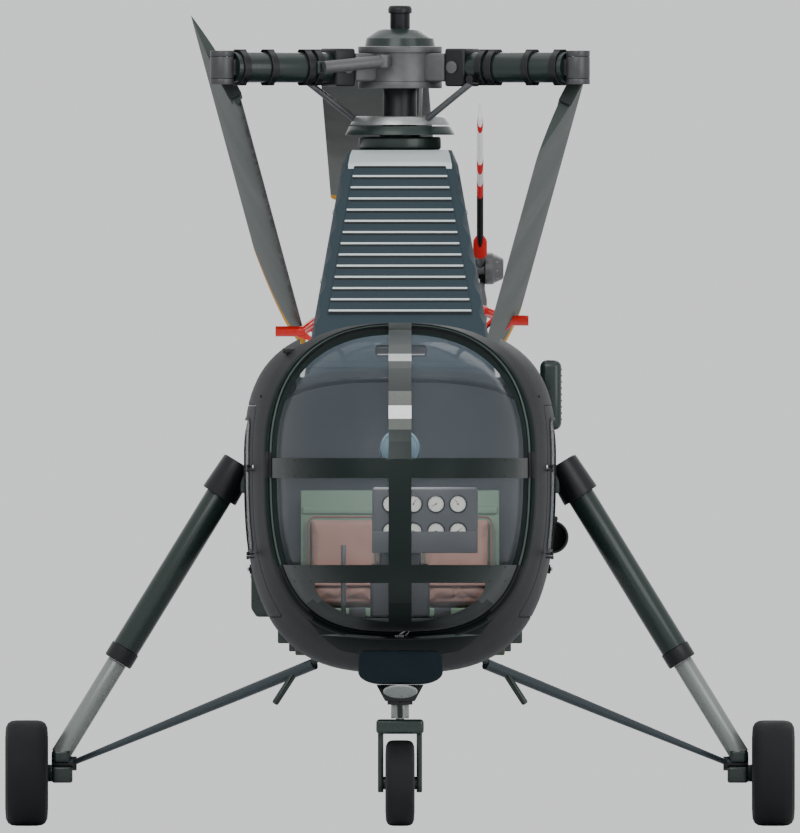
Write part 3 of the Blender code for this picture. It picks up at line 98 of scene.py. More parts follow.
class Graph:
    """A material's node tree, with short calls for the nodes that the finishes use.

    Args:
        name: the material's name.
    """

    def __init__(self, name: str) -> None:
        self.material = bpy.data.materials.new(name)
        self.material.use_nodes = True
        tree = self.material.node_tree
        self.nodes = tree.nodes
        self.links = tree.links
        self.shader = self.nodes["Principled BSDF"]
        self.place = self.nodes.new("ShaderNodeTexCoord").outputs["Object"]

    def set(self, **values: float | Color) -> None:
        """Set constants on the shader's own sockets; underscores stand for spaces."""
        for name, value in values.items():
            self.shader.inputs[name.replace("_", " ")].default_value = value

    def feed(self, socket: str, source: Socket) -> None:
        """Link a pattern into one of the shader's sockets."""
        self.links.new(source, self.shader.inputs[socket])

    def mapped(self, scale: Sequence[float]) -> Socket:
        """Stretch the object's coordinates, one factor for each axis."""
        node = self.nodes.new("ShaderNodeMapping")
        node.inputs["Scale"].default_value = scale
        self.links.new(self.place, node.inputs["Vector"])
        return node.outputs["Vector"]

    def noise(self, scale: float, detail: float = 3.0, vector: Socket | None = None) -> Socket:
        """A cloudy pattern from 0 to 1, with scale clouds to the metre."""
        node = self.nodes.new("ShaderNodeTexNoise")
        node.inputs["Scale"].default_value = scale
        node.inputs["Detail"].default_value = detail
        self.links.new(vector or self.place, node.inputs["Vector"])
        return node.outputs["Fac"]

    def wave(self, scale: float, direction: str) -> Socket:
        """Even stripes across one axis, with a little wander."""
        node = self.nodes.new("ShaderNodeTexWave")
        node.bands_direction = direction
        node.inputs["Scale"].default_value = scale
        node.inputs["Distortion"].default_value = 0.4
        self.links.new(self.place, node.inputs["Vector"])
        return node.outputs["Fac"]

    def sums(self, operation: str, first: Socket, second: Socket | float) -> Socket:
        """One step of arithmetic on two values."""
        node = self.nodes.new("ShaderNodeMath")
        node.operation = operation
        self.links.new(first, node.inputs[0])
        if isinstance(second, float):
            node.inputs[1].default_value = second
        else:
            self.links.new(second, node.inputs[1])
        return node.outputs["Value"]

    def spread(self, source: Socket, low: float, high: float, start: float = 0.3, end: float = 0.7) -> Socket:
        """Carry a value from start..end over to low..high."""
        node = self.nodes.new("ShaderNodeMapRange")
        for name, value in (("From Min", start), ("From Max", end), ("To Min", low), ("To Max", high)):
            node.inputs[name].default_value = value
        self.links.new(source, node.inputs["Value"])
        return node.outputs["Result"]

    def blend(self, share: Socket, first: Socket, second: Color) -> Socket:
        """Mix two colours by a pattern."""
        node = self.nodes.new("ShaderNodeMix")
        node.data_type = "RGBA"
        self.links.new(share, node.inputs["Factor"])
        self.links.new(first, node.inputs[6])
        node.inputs[7].default_value = second
        return node.outputs[2]

    def ramp(self, source: Socket, stops: Iterable[tuple[float, Color]], hard: bool = False) -> Socket:
        """Turn a value into colours, with hard or soft borders between them."""
        node = self.nodes.new("ShaderNodeValToRGB")
        node.color_ramp.interpolation = "CONSTANT" if hard else "LINEAR"
        elements = node.color_ramp.elements
        for index, (position, color) in enumerate(stops):
            element = elements[index] if index < 2 else elements.new(position)
            element.position = position
            element.color = color
        self.links.new(source, node.inputs["Fac"])
        return node.outputs["Color"]

    def peel(self, strength: float) -> None:
        """Give the surface the fine orange peel of sprayed paint."""
        self.height(self.noise(420.0, 1.0), strength, 0.0006)

    def height(self, source: Socket, strength: float, depth: float) -> None:
        """Raise the surface by a pattern, depth being its full height in metres."""
        node = self.nodes.new("ShaderNodeBump")
        node.inputs["Strength"].default_value = strength
        node.inputs["Distance"].default_value = depth
        self.links.new(source, node.inputs["Height"])
        self.feed("Normal", node.outputs["Normal"])


@dataclass(frozen=True)
class Paint:
    """Sprayed paint: broad mottling, a fine orange peel and scuffs that dull it.

    Args:
        name: the material's name.
        color: the paint's colour.
        roughness: its middle roughness.
        metallic: how much of a metal it shows.
        specular: the strength of its gloss at right angles.
        mottle: how far its brightness wanders either way.
        cloud: clouds of mottling to the metre.
        peel: how strongly the orange peel shows.
        coat: the weight of a clear coat over it.
    """

    name: str
    color: Color
    roughness: float = 0.42
    metallic: float = 0.0
    specular: float = 0.35
    mottle: float = 0.10
    cloud: float = 2.5
    peel: float = 0.12
    coat: float = 0.0

    def material(self) -> bpy.types.Material:
        """Build the paint's nodes."""
        graph = Graph(self.name)
        broad = graph.noise(self.cloud, 4.0)
        fine = graph.noise(self.cloud * 24, 3.0)
        share = graph.sums("ADD", graph.sums("MULTIPLY", broad, 0.65), graph.sums("MULTIPLY", fine, 0.35))
        low, high = dimmed(self.color, 1 - self.mottle), dimmed(self.color, 1 + self.mottle)
        graph.feed("Base Color", graph.ramp(share, ((0.32, low), (0.68, high))))
        graph.feed("Roughness", graph.spread(share, self.roughness - 0.07, self.roughness + 0.07))
        graph.set(Metallic=self.metallic, Specular_IOR_Level=self.specular)
        graph.set(Coat_Weight=self.coat, Coat_Roughness=0.12)
        graph.peel(self.peel)
        return graph.material


@dataclass(frozen=True)
class Metal:
    """Bare or plated metal with fine drawn streaks and small dull spots."""

    name: str
    color: Color
    roughness: float = 0.30
    metallic: float = 0.85
    streak: Sequence[float] = (40.0, 40.0, 400.0)

    def material(self) -> bpy.types.Material:
        """Build the metal's nodes."""
        graph = Graph(self.name)
        drawn = graph.noise(1.0, 2.0, graph.mapped(self.streak))
        spots = graph.noise(30.0, 4.0)
        tone = graph.ramp(spots, ((0.30, dimmed(self.color, 0.93)), (0.62, dimmed(self.color, 1.05))))
        graph.feed("Base Color", tone)
        graph.feed("Roughness", graph.spread(drawn, self.roughness - 0.03, self.roughness + 0.05))
        graph.set(Metallic=self.metallic)
        graph.height(drawn, 0.03, 0.0002)
        return graph.material


@dataclass(frozen=True)
class Rubber:
    """Black rubber: matt, faintly grey where it is worn, with a fine grain."""

    name: str
    color: Color
    roughness: float = 0.72

    def material(self) -> bpy.types.Material:
        """Build the rubber's nodes."""
        graph = Graph(self.name)
        worn = graph.noise(9.0, 5.0)
        tone = graph.ramp(worn, ((0.35, dimmed(self.color, 0.8)), (0.72, dimmed(self.color, 1.6))))
        graph.feed("Base Color", tone)
        graph.feed("Roughness", graph.spread(worn, self.roughness - 0.08, self.roughness + 0.10))
        graph.set(Specular_IOR_Level=0.3)
        graph.height(graph.noise(700.0, 2.0), 0.25, 0.0005)
        return graph.material


@dataclass(frozen=True)
class Clear:
    """Clear plastic or glass: a thin haze over a smooth, glossy, see-through sheet."""

    name: str
    color: Color
    alpha: float
    haze: float = 0.04

    def material(self) -> bpy.types.Material:
        """Build the sheet's nodes."""
        graph = Graph(self.name)
        smear = graph.noise(1.6, 3.0)
        graph.feed("Alpha", graph.spread(smear, self.alpha - self.haze, self.alpha + self.haze))
        graph.set(Base_Color=self.color, Roughness=0.05, Specular_IOR_Level=0.15)
        return graph.material


@dataclass(frozen=True)
class Cloth:
    """Woven seat cloth: crossed threads, a soft sheen and a slightly uneven dye."""

    name: str
    color: Color
    threads: float = 260.0

    def material(self) -> bpy.types.Material:
        """Build the cloth's nodes."""
        graph = Graph(self.name)
        across = graph.wave(self.threads, "X")
        along = graph.wave(self.threads, "DIAGONAL")
        weave = graph.sums("MULTIPLY", across, along)
        dye = graph.noise(7.0, 4.0)
        tone = graph.ramp(dye, ((0.30, dimmed(self.color, 0.86)), (0.70, dimmed(self.color, 1.10))))
        graph.feed("Base Color", graph.blend(graph.sums("MULTIPLY", weave, 0.35), tone, dimmed(self.color, 0.55)))
        graph.feed("Roughness", graph.spread(weave, 0.82, 0.96, 0.0, 1.0))
        graph.set(Sheen_Weight=0.25, Sheen_Roughness=0.5, Specular_IOR_Level=0.2)
        graph.height(weave, 0.35, 0.0008)
        return graph.material


@dataclass(frozen=True)
class Banded:
    """Paint in level bands: from each height up, its own tone; the nose post wears such bands as painted reflections.

    Args:
        bands: (height, colour) pairs from the lowest up.
    """

    name: str
    bands: tuple[tuple[float, Color], ...]
    roughness: float = 0.35

    def material(self) -> bpy.types.Material:
        """Build the bands' nodes."""
        graph = Graph(self.name)
        axes = graph.nodes.new("ShaderNodeSeparateXYZ")
        graph.links.new(graph.place, axes.inputs["Vector"])
        low, high = self.bands[0][0], self.bands[-1][0] + 0.1
        share = graph.spread(axes.outputs["Z"], 0.0, 1.0, low, high)
        stops = [((height - low) / (high - low), color) for height, color in self.bands]
        tone = graph.ramp(share, stops, hard=True)
        graph.feed("Base Color", graph.blend(graph.spread(graph.noise(60.0), 0.0, 0.12), tone, (0, 0, 0, 1)))
        graph.set(Roughness=self.roughness, Specular_IOR_Level=0.3)
        graph.peel(0.12)
        return graph.material


Finish = Paint | Metal | Rubber | Clear | Cloth | Banded
Choice = Finish | Callable[[Vector], Finish]

SHELL_GREY = Paint("shell_grey", tint(37, 39, 41), 0.55, 0.05, 0.18, 0.07)
# Black for seams, dials and marks, and painted as shadow in the louvre gaps.
SEAM_AND_SHADOW_BLACK = Paint("seam_black", tint(14, 15, 16), 0.60, mottle=0.05)
FRAME_GREEN = Paint("frame_green", tint(17, 28, 26), 0.50, 0.0, 0.15, 0.08)
# Light green painted as a highlight on the ring's bead and along the chin's joint line.
BEAD_PAINTED_HIGHLIGHT = Paint("bead_light", tint(66, 77, 73), 0.35, 0.0, 0.30, 0.04)
SKIN_GREEN = Paint("skin_green", tint(15, 23, 22), 0.60, 0.0, 0.10, 0.08)
NIGHT_BLUE = Paint("night_blue", tint(22, 32, 37), 0.75, 0.0, 0.08, 0.06)
LEG_GREEN = Paint("leg_green", tint(30, 44, 40), 0.30, 0.15, 0.40, 0.08, coat=0.2)
PYLON_BLUE = Paint("pylon_blue", tint(46, 58, 65), 0.60, 0.0, 0.15, 0.06)
# Near white painted as a highlight on the intake's blades and as a reflection on the pylon's top plate.
SLAT_PAINTED_HIGHLIGHT = Paint("slat_light", tint(196, 206, 206), 0.35, 0.2, 0.5, 0.04)
HUB_GREY = Metal("hub_grey", tint(90, 90, 92), 0.42, 0.55)
PIN_GREY = Metal("pin_grey", tint(72, 72, 74), 0.38, 0.6)
LINK_GREY = Metal("link_grey", tint(84, 86, 88), 0.40, 0.5)
RING_GREY = Metal("ring_grey", tint(160, 163, 162), 0.30, 0.75)
STEEL = Metal("steel", tint(150, 155, 154), 0.24, 0.9)
PISTON_GREY = Paint("piston_grey", tint(128, 134, 131), 0.30, 0.35, 0.40, 0.03)
STRUT_BLUE = Paint("strut_blue", tint(54, 63, 68), 0.26, 0.5, 0.45, 0.06, coat=0.2)
SLEEVE_GREEN = Paint("sleeve_green", tint(24, 36, 34), 0.32, 0.1, 0.40, 0.05, coat=0.15)
MAST_BLACK = Paint("mast_black", tint(17, 18, 21), 0.36, 0.1, 0.40, 0.06)
BLADE_GREEN = Paint("blade_green", tint(56, 64, 61), 0.60, 0.0, 0.25, 0.06, 1.2, 0.2)
ROOT_GREEN = Paint("root_green", tint(32, 41, 38), 0.50, 0.0, 0.25, 0.08)
TIP_YELLOW = Paint("tip_yellow", tint(196, 138, 18), 0.70, 0.0, 0.05, 0.08)
FOLD_RED = Paint("fold_red", tint(226, 36, 30), 0.32, 0.0, 0.45, 0.05, coat=0.3)
TAIL_RED = Paint("tail_red", tint(186, 34, 34), 0.65, 0.0, 0.05, 0.06)
TAIL_WHITE = Paint("tail_white", tint(226, 226, 222), 0.65, 0.0, 0.05, 0.04)
TAIL_PALE = Paint("tail_pale", tint(196, 198, 196), 0.65, 0.0, 0.05, 0.04)
TAIL_BLACK = Paint("tail_black", tint(12, 12, 13), 0.70, 0.0, 0.05, 0.04)
TYRE_BLACK = Rubber("tyre_black", tint(17, 18, 20))
TRIM_BLACK = Rubber("trim_black", tint(20, 21, 23), 0.55)
GLASS_NOSE = Clear("glass_nose", tint(122, 134, 144), 0.07, 0.015)
GLASS_SIDE = Clear("glass_side", tint(112, 124, 134), 0.22)
SEAT_GREEN = Paint("seat_green", tint(104, 124, 108), 0.60, 0.0, 0.25, 0.08)
CUSHION_ROSE = Cloth("cushion_rose", tint(150, 118, 108))
PIPING_ROSE = Cloth("piping_rose", tint(118, 88, 80), 500.0)
PANEL_GREY = Paint("panel_grey", tint(80, 80, 82), 0.60, 0.0, 0.30, 0.06, 8.0, 0.3)
WALL_GREY = Paint("wall_grey", tint(88, 91, 95), 0.75, 0.0, 0.10, 0.05)
LINING_GREY = Cloth("lining_grey", tint(86, 90, 94), 180.0)
# Cream for the dial faces, and painted as a glint on a bolt head by the ring.
DIAL_AND_GLINT_CREAM = Paint("dial_cream", tint(228, 228, 220), 0.40, 0.0, 0.40, 0.03)
FLOOR_GREY = Paint("floor_grey", tint(70, 73, 76), 0.60, 0.2, 0.30, 0.10, 6.0)
LAMP_GLASS = Paint("lamp_glass", tint(138, 144, 142), 0.30, 0.0, 0.4, 0.03, coat=0.2)
NAV_RED = Paint("nav_red", tint(170, 20, 18), 0.15, 0.0, 0.6, 0.03, coat=0.8)
NAV_GREEN = Paint("nav_green", tint(16, 120, 52), 0.15, 0.0, 0.6, 0.03, coat=0.8)
STEP_OLIVE = Paint("step_olive", tint(62, 76, 58), 0.45, 0.0, 0.3, 0.08)

_materials: dict[str, bpy.types.Material] = {}


def material_of(finish: Finish) -> bpy.types.Material:
    """The one material that stands for a finish, built when it is first asked for."""
    if finish.name not in _materials:
        _materials[finish.name] = finish.material()
    return _materials[finish.name]


def eased(points: Sequence[Point2], radius: float, steps: int = 3, closed: bool = True) -> list[Point2]:
    """Round the corners of a row of points.

    Args:
        points: the corners in order.
        radius: how far from a corner its rounding starts, less on short sides.
        steps: straight pieces in each rounding.
        closed: whether the last point joins the first.

    Returns:
        The points of the rounded row.
    """
    count = len(points)
    made: list[Point2] = []
    for index, corner in enumerate(points):
        if not closed and index in (0, count - 1):
            made.append(tuple(corner))
            continue
        here = Vector(corner)
        before = Vector(points[index - 1]) - here
        after = Vector(points[(index + 1) % count]) - here
        start = here + before.normalized() * min(radius, before.length * 0.45)
        end = here + after.normalized() * min(radius, after.length * 0.45)
        for step in range(steps + 1):
            t = step / steps
            made.append(tuple(start * (1 - t) ** 2 + here * 2 * t * (1 - t) + end * t**2))
    return made


def soften(shape: Shape, width: float, segments: int = 2, angle: float = 30.0) -> Shape:
    """Round off every edge that turns by more than an angle in degrees."""
    limit = math.radians(angle)
    edges = [e for e in shape.edges if len(e.link_faces) == 2 and e.calc_face_angle(0.0) > limit]
    bmesh.ops.bevel(
        shape, geom=edges, offset=width, segments=segments, profile=0.5,
        affect="EDGES", material=-1, clamp_overlap=True,
    )
    return shape


def block(low: Sequence[float], high: Sequence[float], bevel: float = 0.004, segments: int = 2) -> Shape:
    """A box between two corners with rounded edges."""
    shape = bmesh.new()
    bmesh.ops.create_cube(shape, size=1.0)
    bmesh.ops.scale(shape, vec=Vector(high) - Vector(low), verts=shape.verts)
    bmesh.ops.translate(shape, vec=(Vector(high) + Vector(low)) / 2, verts=shape.verts)
    return soften(shape, bevel, segments) if bevel else shape


def side_block(
    side: Side, across: Point2, along: Point2, up: Point2, bevel: float = 0.004, segments: int = 2
) -> Shape:
    """A box on one side of the craft, its width given from the centre plane."""
    low_x, high_x = sorted(side.value * x for x in across)
    return block((low_x, along[0], up[0]), (high_x, along[1], up[1]), bevel, segments)


def spun(profile: Sequence[Point2], steps: int = 48, place: Matrix | None = None, closed: bool = False) -> Shape:
    """Spin a profile about Z.

    Args:
        profile: (radius, height) points in order.
        steps: pieces in the full turn.
        place: where the finished shape goes.
        closed: whether the last point joins the first, as on a ring.

    Returns:
        The closed shape, its faces pointing out.
    """
    shape = bmesh.new()
    verts = [shape.verts.new((radius, 0.0, height)) for radius, height in profile]
    pairs = list(zip(verts, verts[1:]))
    if closed:
        pairs.append((verts[-1], verts[0]))
    edges = [shape.edges.new(pair) for pair in pairs]
    bmesh.ops.spin(
        shape, geom=verts + edges, cent=(0, 0, 0), axis=(0, 0, 1), dvec=(0, 0, 0),
        angle=2 * math.pi, steps=steps, use_merge=True, use_duplicate=False,
    )
    bmesh.ops.remove_doubles(shape, verts=shape.verts, dist=MERGE_DISTANCE)
    bmesh.ops.recalc_face_normals(shape, faces=shape.faces)
    if place is not None:
        bmesh.ops.transform(shape, matrix=place, verts=shape.verts)
    return shape


def along(start: Sequence[float], end: Sequence[float]) -> Matrix:
    """A place whose +Z runs from start to end, with its origin at start."""
    way = Vector(end) - Vector(start)
    return Matrix.Translation(start) @ way.to_track_quat("Z", "Y").to_matrix().to_4x4()


def heading(foot: Vector, way: Sequence[float]) -> Matrix:
    """A place at a point whose +Z runs one way."""
    return along(foot, foot + Vector(way))


def rod(start: Sequence[float], end: Sequence[float], radius: float, steps: int = 32, ease: float = 0.002) -> Shape:
    """A round bar between two points, its end corners eased."""
    length = (Vector(end) - Vector(start)).length
    profile = eased([(0.0, 0.0), (radius, 0.0), (radius, length), (0.0, length)], ease, 2, closed=False)
    return spun(profile, steps, along(start, end))


def plate(outline: Sequence[Point2], thickness: float, place: Matrix, bevel: float = 0.002) -> Shape:
    """A flat outline thickened both ways along its own Z, then put in place."""
    shape = bmesh.new()
    face = shape.faces.new([shape.verts.new((x, y, -thickness / 2)) for x, y in outline])
    grown = bmesh.ops.extrude_face_region(shape, geom=[face])
    moved = [item for item in grown["geom"] if isinstance(item, bmesh.types.BMVert)]
    bmesh.ops.translate(shape, vec=(0, 0, thickness), verts=moved)
    bmesh.ops.recalc_face_normals(shape, faces=shape.faces)
    if bevel:
        soften(shape, bevel, 2, 50.0)
    bmesh.ops.transform(shape, matrix=place, verts=shape.verts)
    return shape


def facing_side(x: float) -> Matrix:
    """The place of a plate whose outline is (y, z), at a distance x."""
    return Matrix(((0, 0, 1, x), (1, 0, 0, 0), (0, 1, 0, 0), (0, 0, 0, 1)))


def facing_front(y: float) -> Matrix:
    """The place of a plate whose outline is (x, z), at a station y."""
    return Matrix(((1, 0, 0, 0), (0, 0, -1, y), (0, 1, 0, 0), (0, 0, 0, 1)))


def lofted(rings: Sequence[Sequence[Sequence[float]]], round_trip: bool = False) -> Shape:
    """Bridge rings of equal count, and close the ends or join the last to the first."""
    shape = bmesh.new()
    loops = []
    for ring in rings:
        made = bmesh.ops.create_circle(shape, segments=len(ring), radius=1.0, cap_ends=False)
        for vert, point in zip(made["verts"], ring):
            vert.co = point
        loops.append(list(dict.fromkeys(edge for vert in made["verts"] for edge in vert.link_edges)))
    pairs = list(zip(loops, loops[1:]))
    if round_trip:
        pairs.append((loops[-1], loops[0]))
    for near, far in pairs:
        bmesh.ops.bridge_loops(shape, edges=near + far)
    if not round_trip:
        bmesh.ops.holes_fill(shape, edges=shape.edges, sides=0)
    bmesh.ops.recalc_face_normals(shape, faces=shape.faces)
    return shape


def piped(
    points: Sequence[Sequence[float]], radius: float, radii: Sequence[float] | None = None, smooth: bool = False
) -> Shape:
    """A round pipe along a row of points, which may taper.

    Args:
        points: the points of its middle line.
        radius: its radius.
        radii: its radius at each point, where that changes.
        smooth: whether it runs in a curve near the points.

    Returns:
        The pipe with both ends closed.
    """
    curve = bpy.data.curves.new("pipe", "CURVE")
    curve.dimensions = "3D"
    curve.bevel_depth = radius
    curve.bevel_resolution = 6
    curve.use_fill_caps = True
    spline = curve.splines.new("NURBS" if smooth else "POLY")
    spline.points.add(len(points) - 1)
    for index, point in enumerate(points):
        spline.points[index].co = (*point, 1.0)
        if radii:
            spline.points[index].radius = radii[index] / radius
    if smooth:
        spline.use_endpoint_u = True
        spline.order_u = min(4, len(points))
        spline.resolution_u = 8
    holder = linked("pipe", curve)
    shape = evaluated(holder)
    bpy.data.objects.remove(holder)
    bmesh.ops.remove_doubles(shape, verts=shape.verts, dist=MERGE_DISTANCE)
    bmesh.ops.recalc_face_normals(shape, faces=shape.faces)
    return shape


def evaluated(holder: Object) -> Shape:
    """The mesh that an object's curve or modifiers make, as a new shape."""
    bpy.context.view_layer.update()
    graph = bpy.context.evaluated_depsgraph_get()
    mesh = bpy.data.meshes.new_from_object(holder.evaluated_get(graph), depsgraph=graph)
    shape = bmesh.new()
    shape.from_mesh(mesh)
    bpy.data.meshes.remove(mesh)
    return shape


def mesh_of(shape: Shape, name: str) -> bpy.types.Mesh:
    """Turn a shape into a mesh and use it up."""
    mesh = bpy.data.meshes.new(name)
    shape.to_mesh(mesh)
    shape.free()
    return mesh


def linked(name: str, data: bpy.types.ID) -> Object:
    """Put an object with its data into the scene."""
    made = bpy.data.objects.new(name, data)
    bpy.context.scene.collection.objects.link(made)
    return made


def poured(shape: Shape, target: Shape) -> None:
    """Move a shape into another one and use it up."""
    mesh = mesh_of(shape, "poured")
    target.from_mesh(mesh)
    bpy.data.meshes.remove(mesh)


def held(shape: Shape) -> Object:
    """Put a shape into a plain object for a modifier to work on, and use it up."""
    return linked("held", mesh_of(shape, "held"))


def carved(body: Shape, tool: Shape, operation: str = "DIFFERENCE") -> Shape:
    """Cut, unite or intersect one closed shape with another, and use both up."""
    holders = [held(body), held(tool)]
    modifier = holders[0].modifiers.new("carve", "BOOLEAN")
    modifier.operation = operation
    modifier.solver = "EXACT"
    modifier.object = holders[1]
    shape = evaluated(holders[0])
    for holder in holders:
        mesh = holder.data
        bpy.data.objects.remove(holder)
        bpy.data.meshes.remove(mesh)
    bmesh.ops.remove_doubles(shape, verts=shape.verts, dist=2 * MERGE_DISTANCE)
    return shape


class Piece:
    """One visible piece, gathered from shapes that may carry different finishes.

    Args:
        name: the piece's name.
        slot: the record's material slot; not used.
        body: the moving body that it rides on.
        replaced: the CAD node that it stands for, if it does for one.
    """

    def __init__(self, name: str, slot: str, body: str = "airframe", replaced: str | None = None) -> None:
        self.name, self.slot, self.body, self.replaced = name, slot, body, replaced
        self.shape = bmesh.new()
        self.finishes: list[Finish] = []

    def add(self, shape: Shape, finish: Choice, place: Matrix | None = None) -> None:
        """Add a shape and use it up.

        Args:
            shape: the shape, closed and pointing out.
            finish: its finish, or a function from a face's middle to one.
            place: where it goes, if it isn't in place yet.
        """
        for face in shape.faces:
            chosen = finish(face.calc_center_median()) if callable(finish) else finish
            if chosen not in self.finishes:
                self.finishes.append(chosen)
            face.material_index = self.finishes.index(chosen)
        if place is not None:
            bmesh.ops.transform(shape, matrix=place, verts=shape.verts)
            if place.determinant() < 0:
                bmesh.ops.reverse_faces(shape, faces=shape.faces)
        poured(shape, self.shape)

    def done(self, sharp: float = SHARP_ANGLE) -> Object:
        """Make the object, seat it on its body and hide the CAD node that it stands for."""
        mesh = mesh_of(self.shape, self.name)
        for finish in self.finishes:
            mesh.materials.append(material_of(finish))
        mesh.shade_smooth()
        mesh.set_sharp_from_angle(angle=math.radians(sharp))
        piece = linked(self.name, mesh)
        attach(piece, self.body)
        if self.replaced:
            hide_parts(self.replaced)
        return piece


def dressed(node: str, slot: str, body: str = "airframe") -> Piece:
    """The piece that stands for one CAD node, named after it."""
    return Piece(f"{node}_dressed", slot, body, node)


@dataclass(frozen=True)
class Station:
    """A fuselage section: where it is, its half width, top and bottom, and how square its top is."""

    y: float
    half: float
    top: float
    bottom: float
    power: float = 2.4


@dataclass(frozen=True)
class Skin:
    """A fuselage skin: superellipse sections that run smoothly through a few stations.

    Args:
        stations: the sections from front to back.
        waist: the height where the section is widest, or None for its middle.
        count: points around a section.
        steps: sections made from one station to the next.
    """

    stations: tuple[Station, ...]
    waist: float | None = 1.76
    count: int = 96
    steps: int = 5
    bottom_power: float = 3.0

    def section(self, y: float) -> Station:
        """The section at a station y, from a curve through the given ones."""
        rows = self.stations
        index = max(i for i in range(len(rows) - 1) if i == 0 or y >= rows[i].y)
        near, far = rows[index], rows[index + 1]
        length = far.y - near.y
        t = min(max((y - near.y) / length, 0.0), 1.0)
        before = rows[index - 1] if index else near
        after = rows[index + 2] if index + 2 < len(rows) else far

        def between(name: str) -> float:
            a, b, c, d = (getattr(row, name) for row in (before, near, far, after))
            lean_near = (c - a) / (far.y - before.y) * length
            lean_far = (d - b) / (after.y - near.y) * length
            h = (2 * t**3 - 3 * t**2 + 1, t**3 - 2 * t**2 + t, -2 * t**3 + 3 * t**2, t**3 - t**2)
            return h[0] * b + h[1] * lean_near + h[2] * c + h[3] * lean_far

        return Station(y, *(between(name) for name in ("half", "top", "bottom", "power")))

    def ring(self, section: Station, inset: float = 0.0) -> list[Vector]:
        """A section's outline, drawn in by inset, as points in space."""
        waist = (section.top + section.bottom) / 2 if self.waist is None else self.waist
        half, top, bottom = section.half - inset, section.top - inset, section.bottom + inset
        points = []
        for index in range(self.count):
            angle = 2 * math.pi * (index + 0.5) / self.count
            c, s = math.cos(angle), math.sin(angle)
            power = section.power if s > 0 else self.bottom_power
            reach = top - waist if s > 0 else waist - bottom
            x = half * math.copysign(abs(c) ** (2 / power), c)
            points.append(Vector((x, section.y, waist + reach * math.copysign(abs(s) ** (2 / power), s))))
        return points

    def rows(self) -> list[Station]:
        """All sections, the given ones and those between them."""
        made = []
        for near, far in zip(self.stations, self.stations[1:]):
            for step in range(self.steps):
                made.append(self.section(near.y + (far.y - near.y) * step / self.steps))
        made.append(self.stations[-1])
        return made

    def volume(self, inset: float = 0.0, front: float = 0.0, back: float = 0.0) -> Shape:
        """The space inside the skin, drawn in by inset and longer by front and back."""
        rings = [self.ring(row, inset) for row in self.rows()]
        if front:
            rings.insert(0, [point - Vector((0, front, 0)) for point in rings[0]])
        if back:
            rings.append([point + Vector((0, back, 0)) for point in rings[-1]])
        return lofted(rings)

    def sheet(self, inner: float, outer: float = 0.0) -> Shape:
        """The wall between two insets of the skin, open at both ends."""
        return carved(self.volume(outer), self.volume(inner, 0.2, 0.2))

    def reach(self, y: float, z: float) -> float:
        """How far out the skin lies at a station and a height."""
        section = self.section(y)
        up = z - self.waist
        power = section.power if up > 0 else self.bottom_power
        most = section.top - self.waist if up > 0 else self.waist - section.bottom
        return section.half * (1 - (abs(up) / most) ** power) ** (1 / power)

    def band(self, y: float, width: float, proud: float, sink: float = 0.004) -> Shape:
        """A flat strap that runs around the skin at a station."""
        rings = []
        for inset, shift in ((sink, -1), (-proud, -0.8), (-proud, 0.8), (sink, 1)):
            row = self.section(y + shift * width / 2)
            rings.append(self.ring(row, inset))
        return lofted(rings, round_trip=True)


MAST_HOLE = 0.102
RING_Y = MAST.y - 2.25
CABIN_END_Y = MAST.y - 0.40
BOOM_FRONT_Y = MAST.y + 1.70
BOOM_END_Y = MAST.y + 8.30

CABIN_SKIN = Skin((
    Station(RING_Y, 0.650, 2.420, 0.900),
    Station(RING_Y + 0.15, 0.705, 2.418, 0.820, 2.7),
    Station(RING_Y + 0.37, 0.745, 2.405, 0.745, 3.0),
    Station(RING_Y + 0.80, 0.745, 2.300, 0.740, 3.0),
    Station(RING_Y + 1.25, 0.745, 2.185, 0.740, 3.0),
    Station(CABIN_END_Y, 0.712, 2.170, 0.770, 3.0),
))
BAY_SKIN = Skin((
    Station(CABIN_END_Y + 0.001, 0.712, 2.170, 0.770, 3.0),
    Station(MAST.y + 0.10, 0.680, 2.165, 0.800, 2.9),
    Station(MAST.y + 0.50, 0.620, 2.150, 0.860, 2.7),
    Station(MAST.y + 1.10, 0.470, 2.080, 1.080),
    Station(BOOM_FRONT_Y, 0.330, 2.020, 1.370),
))
BOOM_SKIN = Skin((
    Station(BOOM_FRONT_Y + 0.001, 0.330, 2.020, 1.370),
    Station(MAST.y + 2.60, 0.290, 1.990, 1.450),
    Station(MAST.y + 5.00, 0.220, 1.985, 1.570),
    Station(MAST.y + 8.00, 0.140, 1.990, 1.740),
    Station(BOOM_END_Y, 0.110, 1.985, 1.775),
), waist=None, count=64)


def seated(shape: Shape, *skins: Skin) -> Shape:
    """Cut away what lies inside a skin, with a hair's breadth to spare."""
    for skin in skins:
        shape = carved(shape, skin.volume(-CLEARANCE))
    return shape


def side_window(side: Side, along_y: Point2, up: Point2, radius: float, reach: Point2 = (0.3, 1.0)) -> Shape:
    """A cutter through one side wall with rounded corners.

    Args:
        side: the side that it cuts.
        along_y: its front and back.
        up: its bottom and top.
        radius: the rounding of its corners.
        reach: how far from the centre plane it starts and ends.
    """
    (y0, y1), (z0, z1) = along_y, up
    outline = eased([(y0, z0), (y1, z0), (y1, z1), (y0, z1)], radius, 5)
    return plate(outline, reach[1] - reach[0], facing_side(side.value * sum(reach) / 2), 0.0)


def grown(span: Point2, by: float) -> Point2:
    """A span made longer at both ends."""
    return span[0] - by, span[1] + by


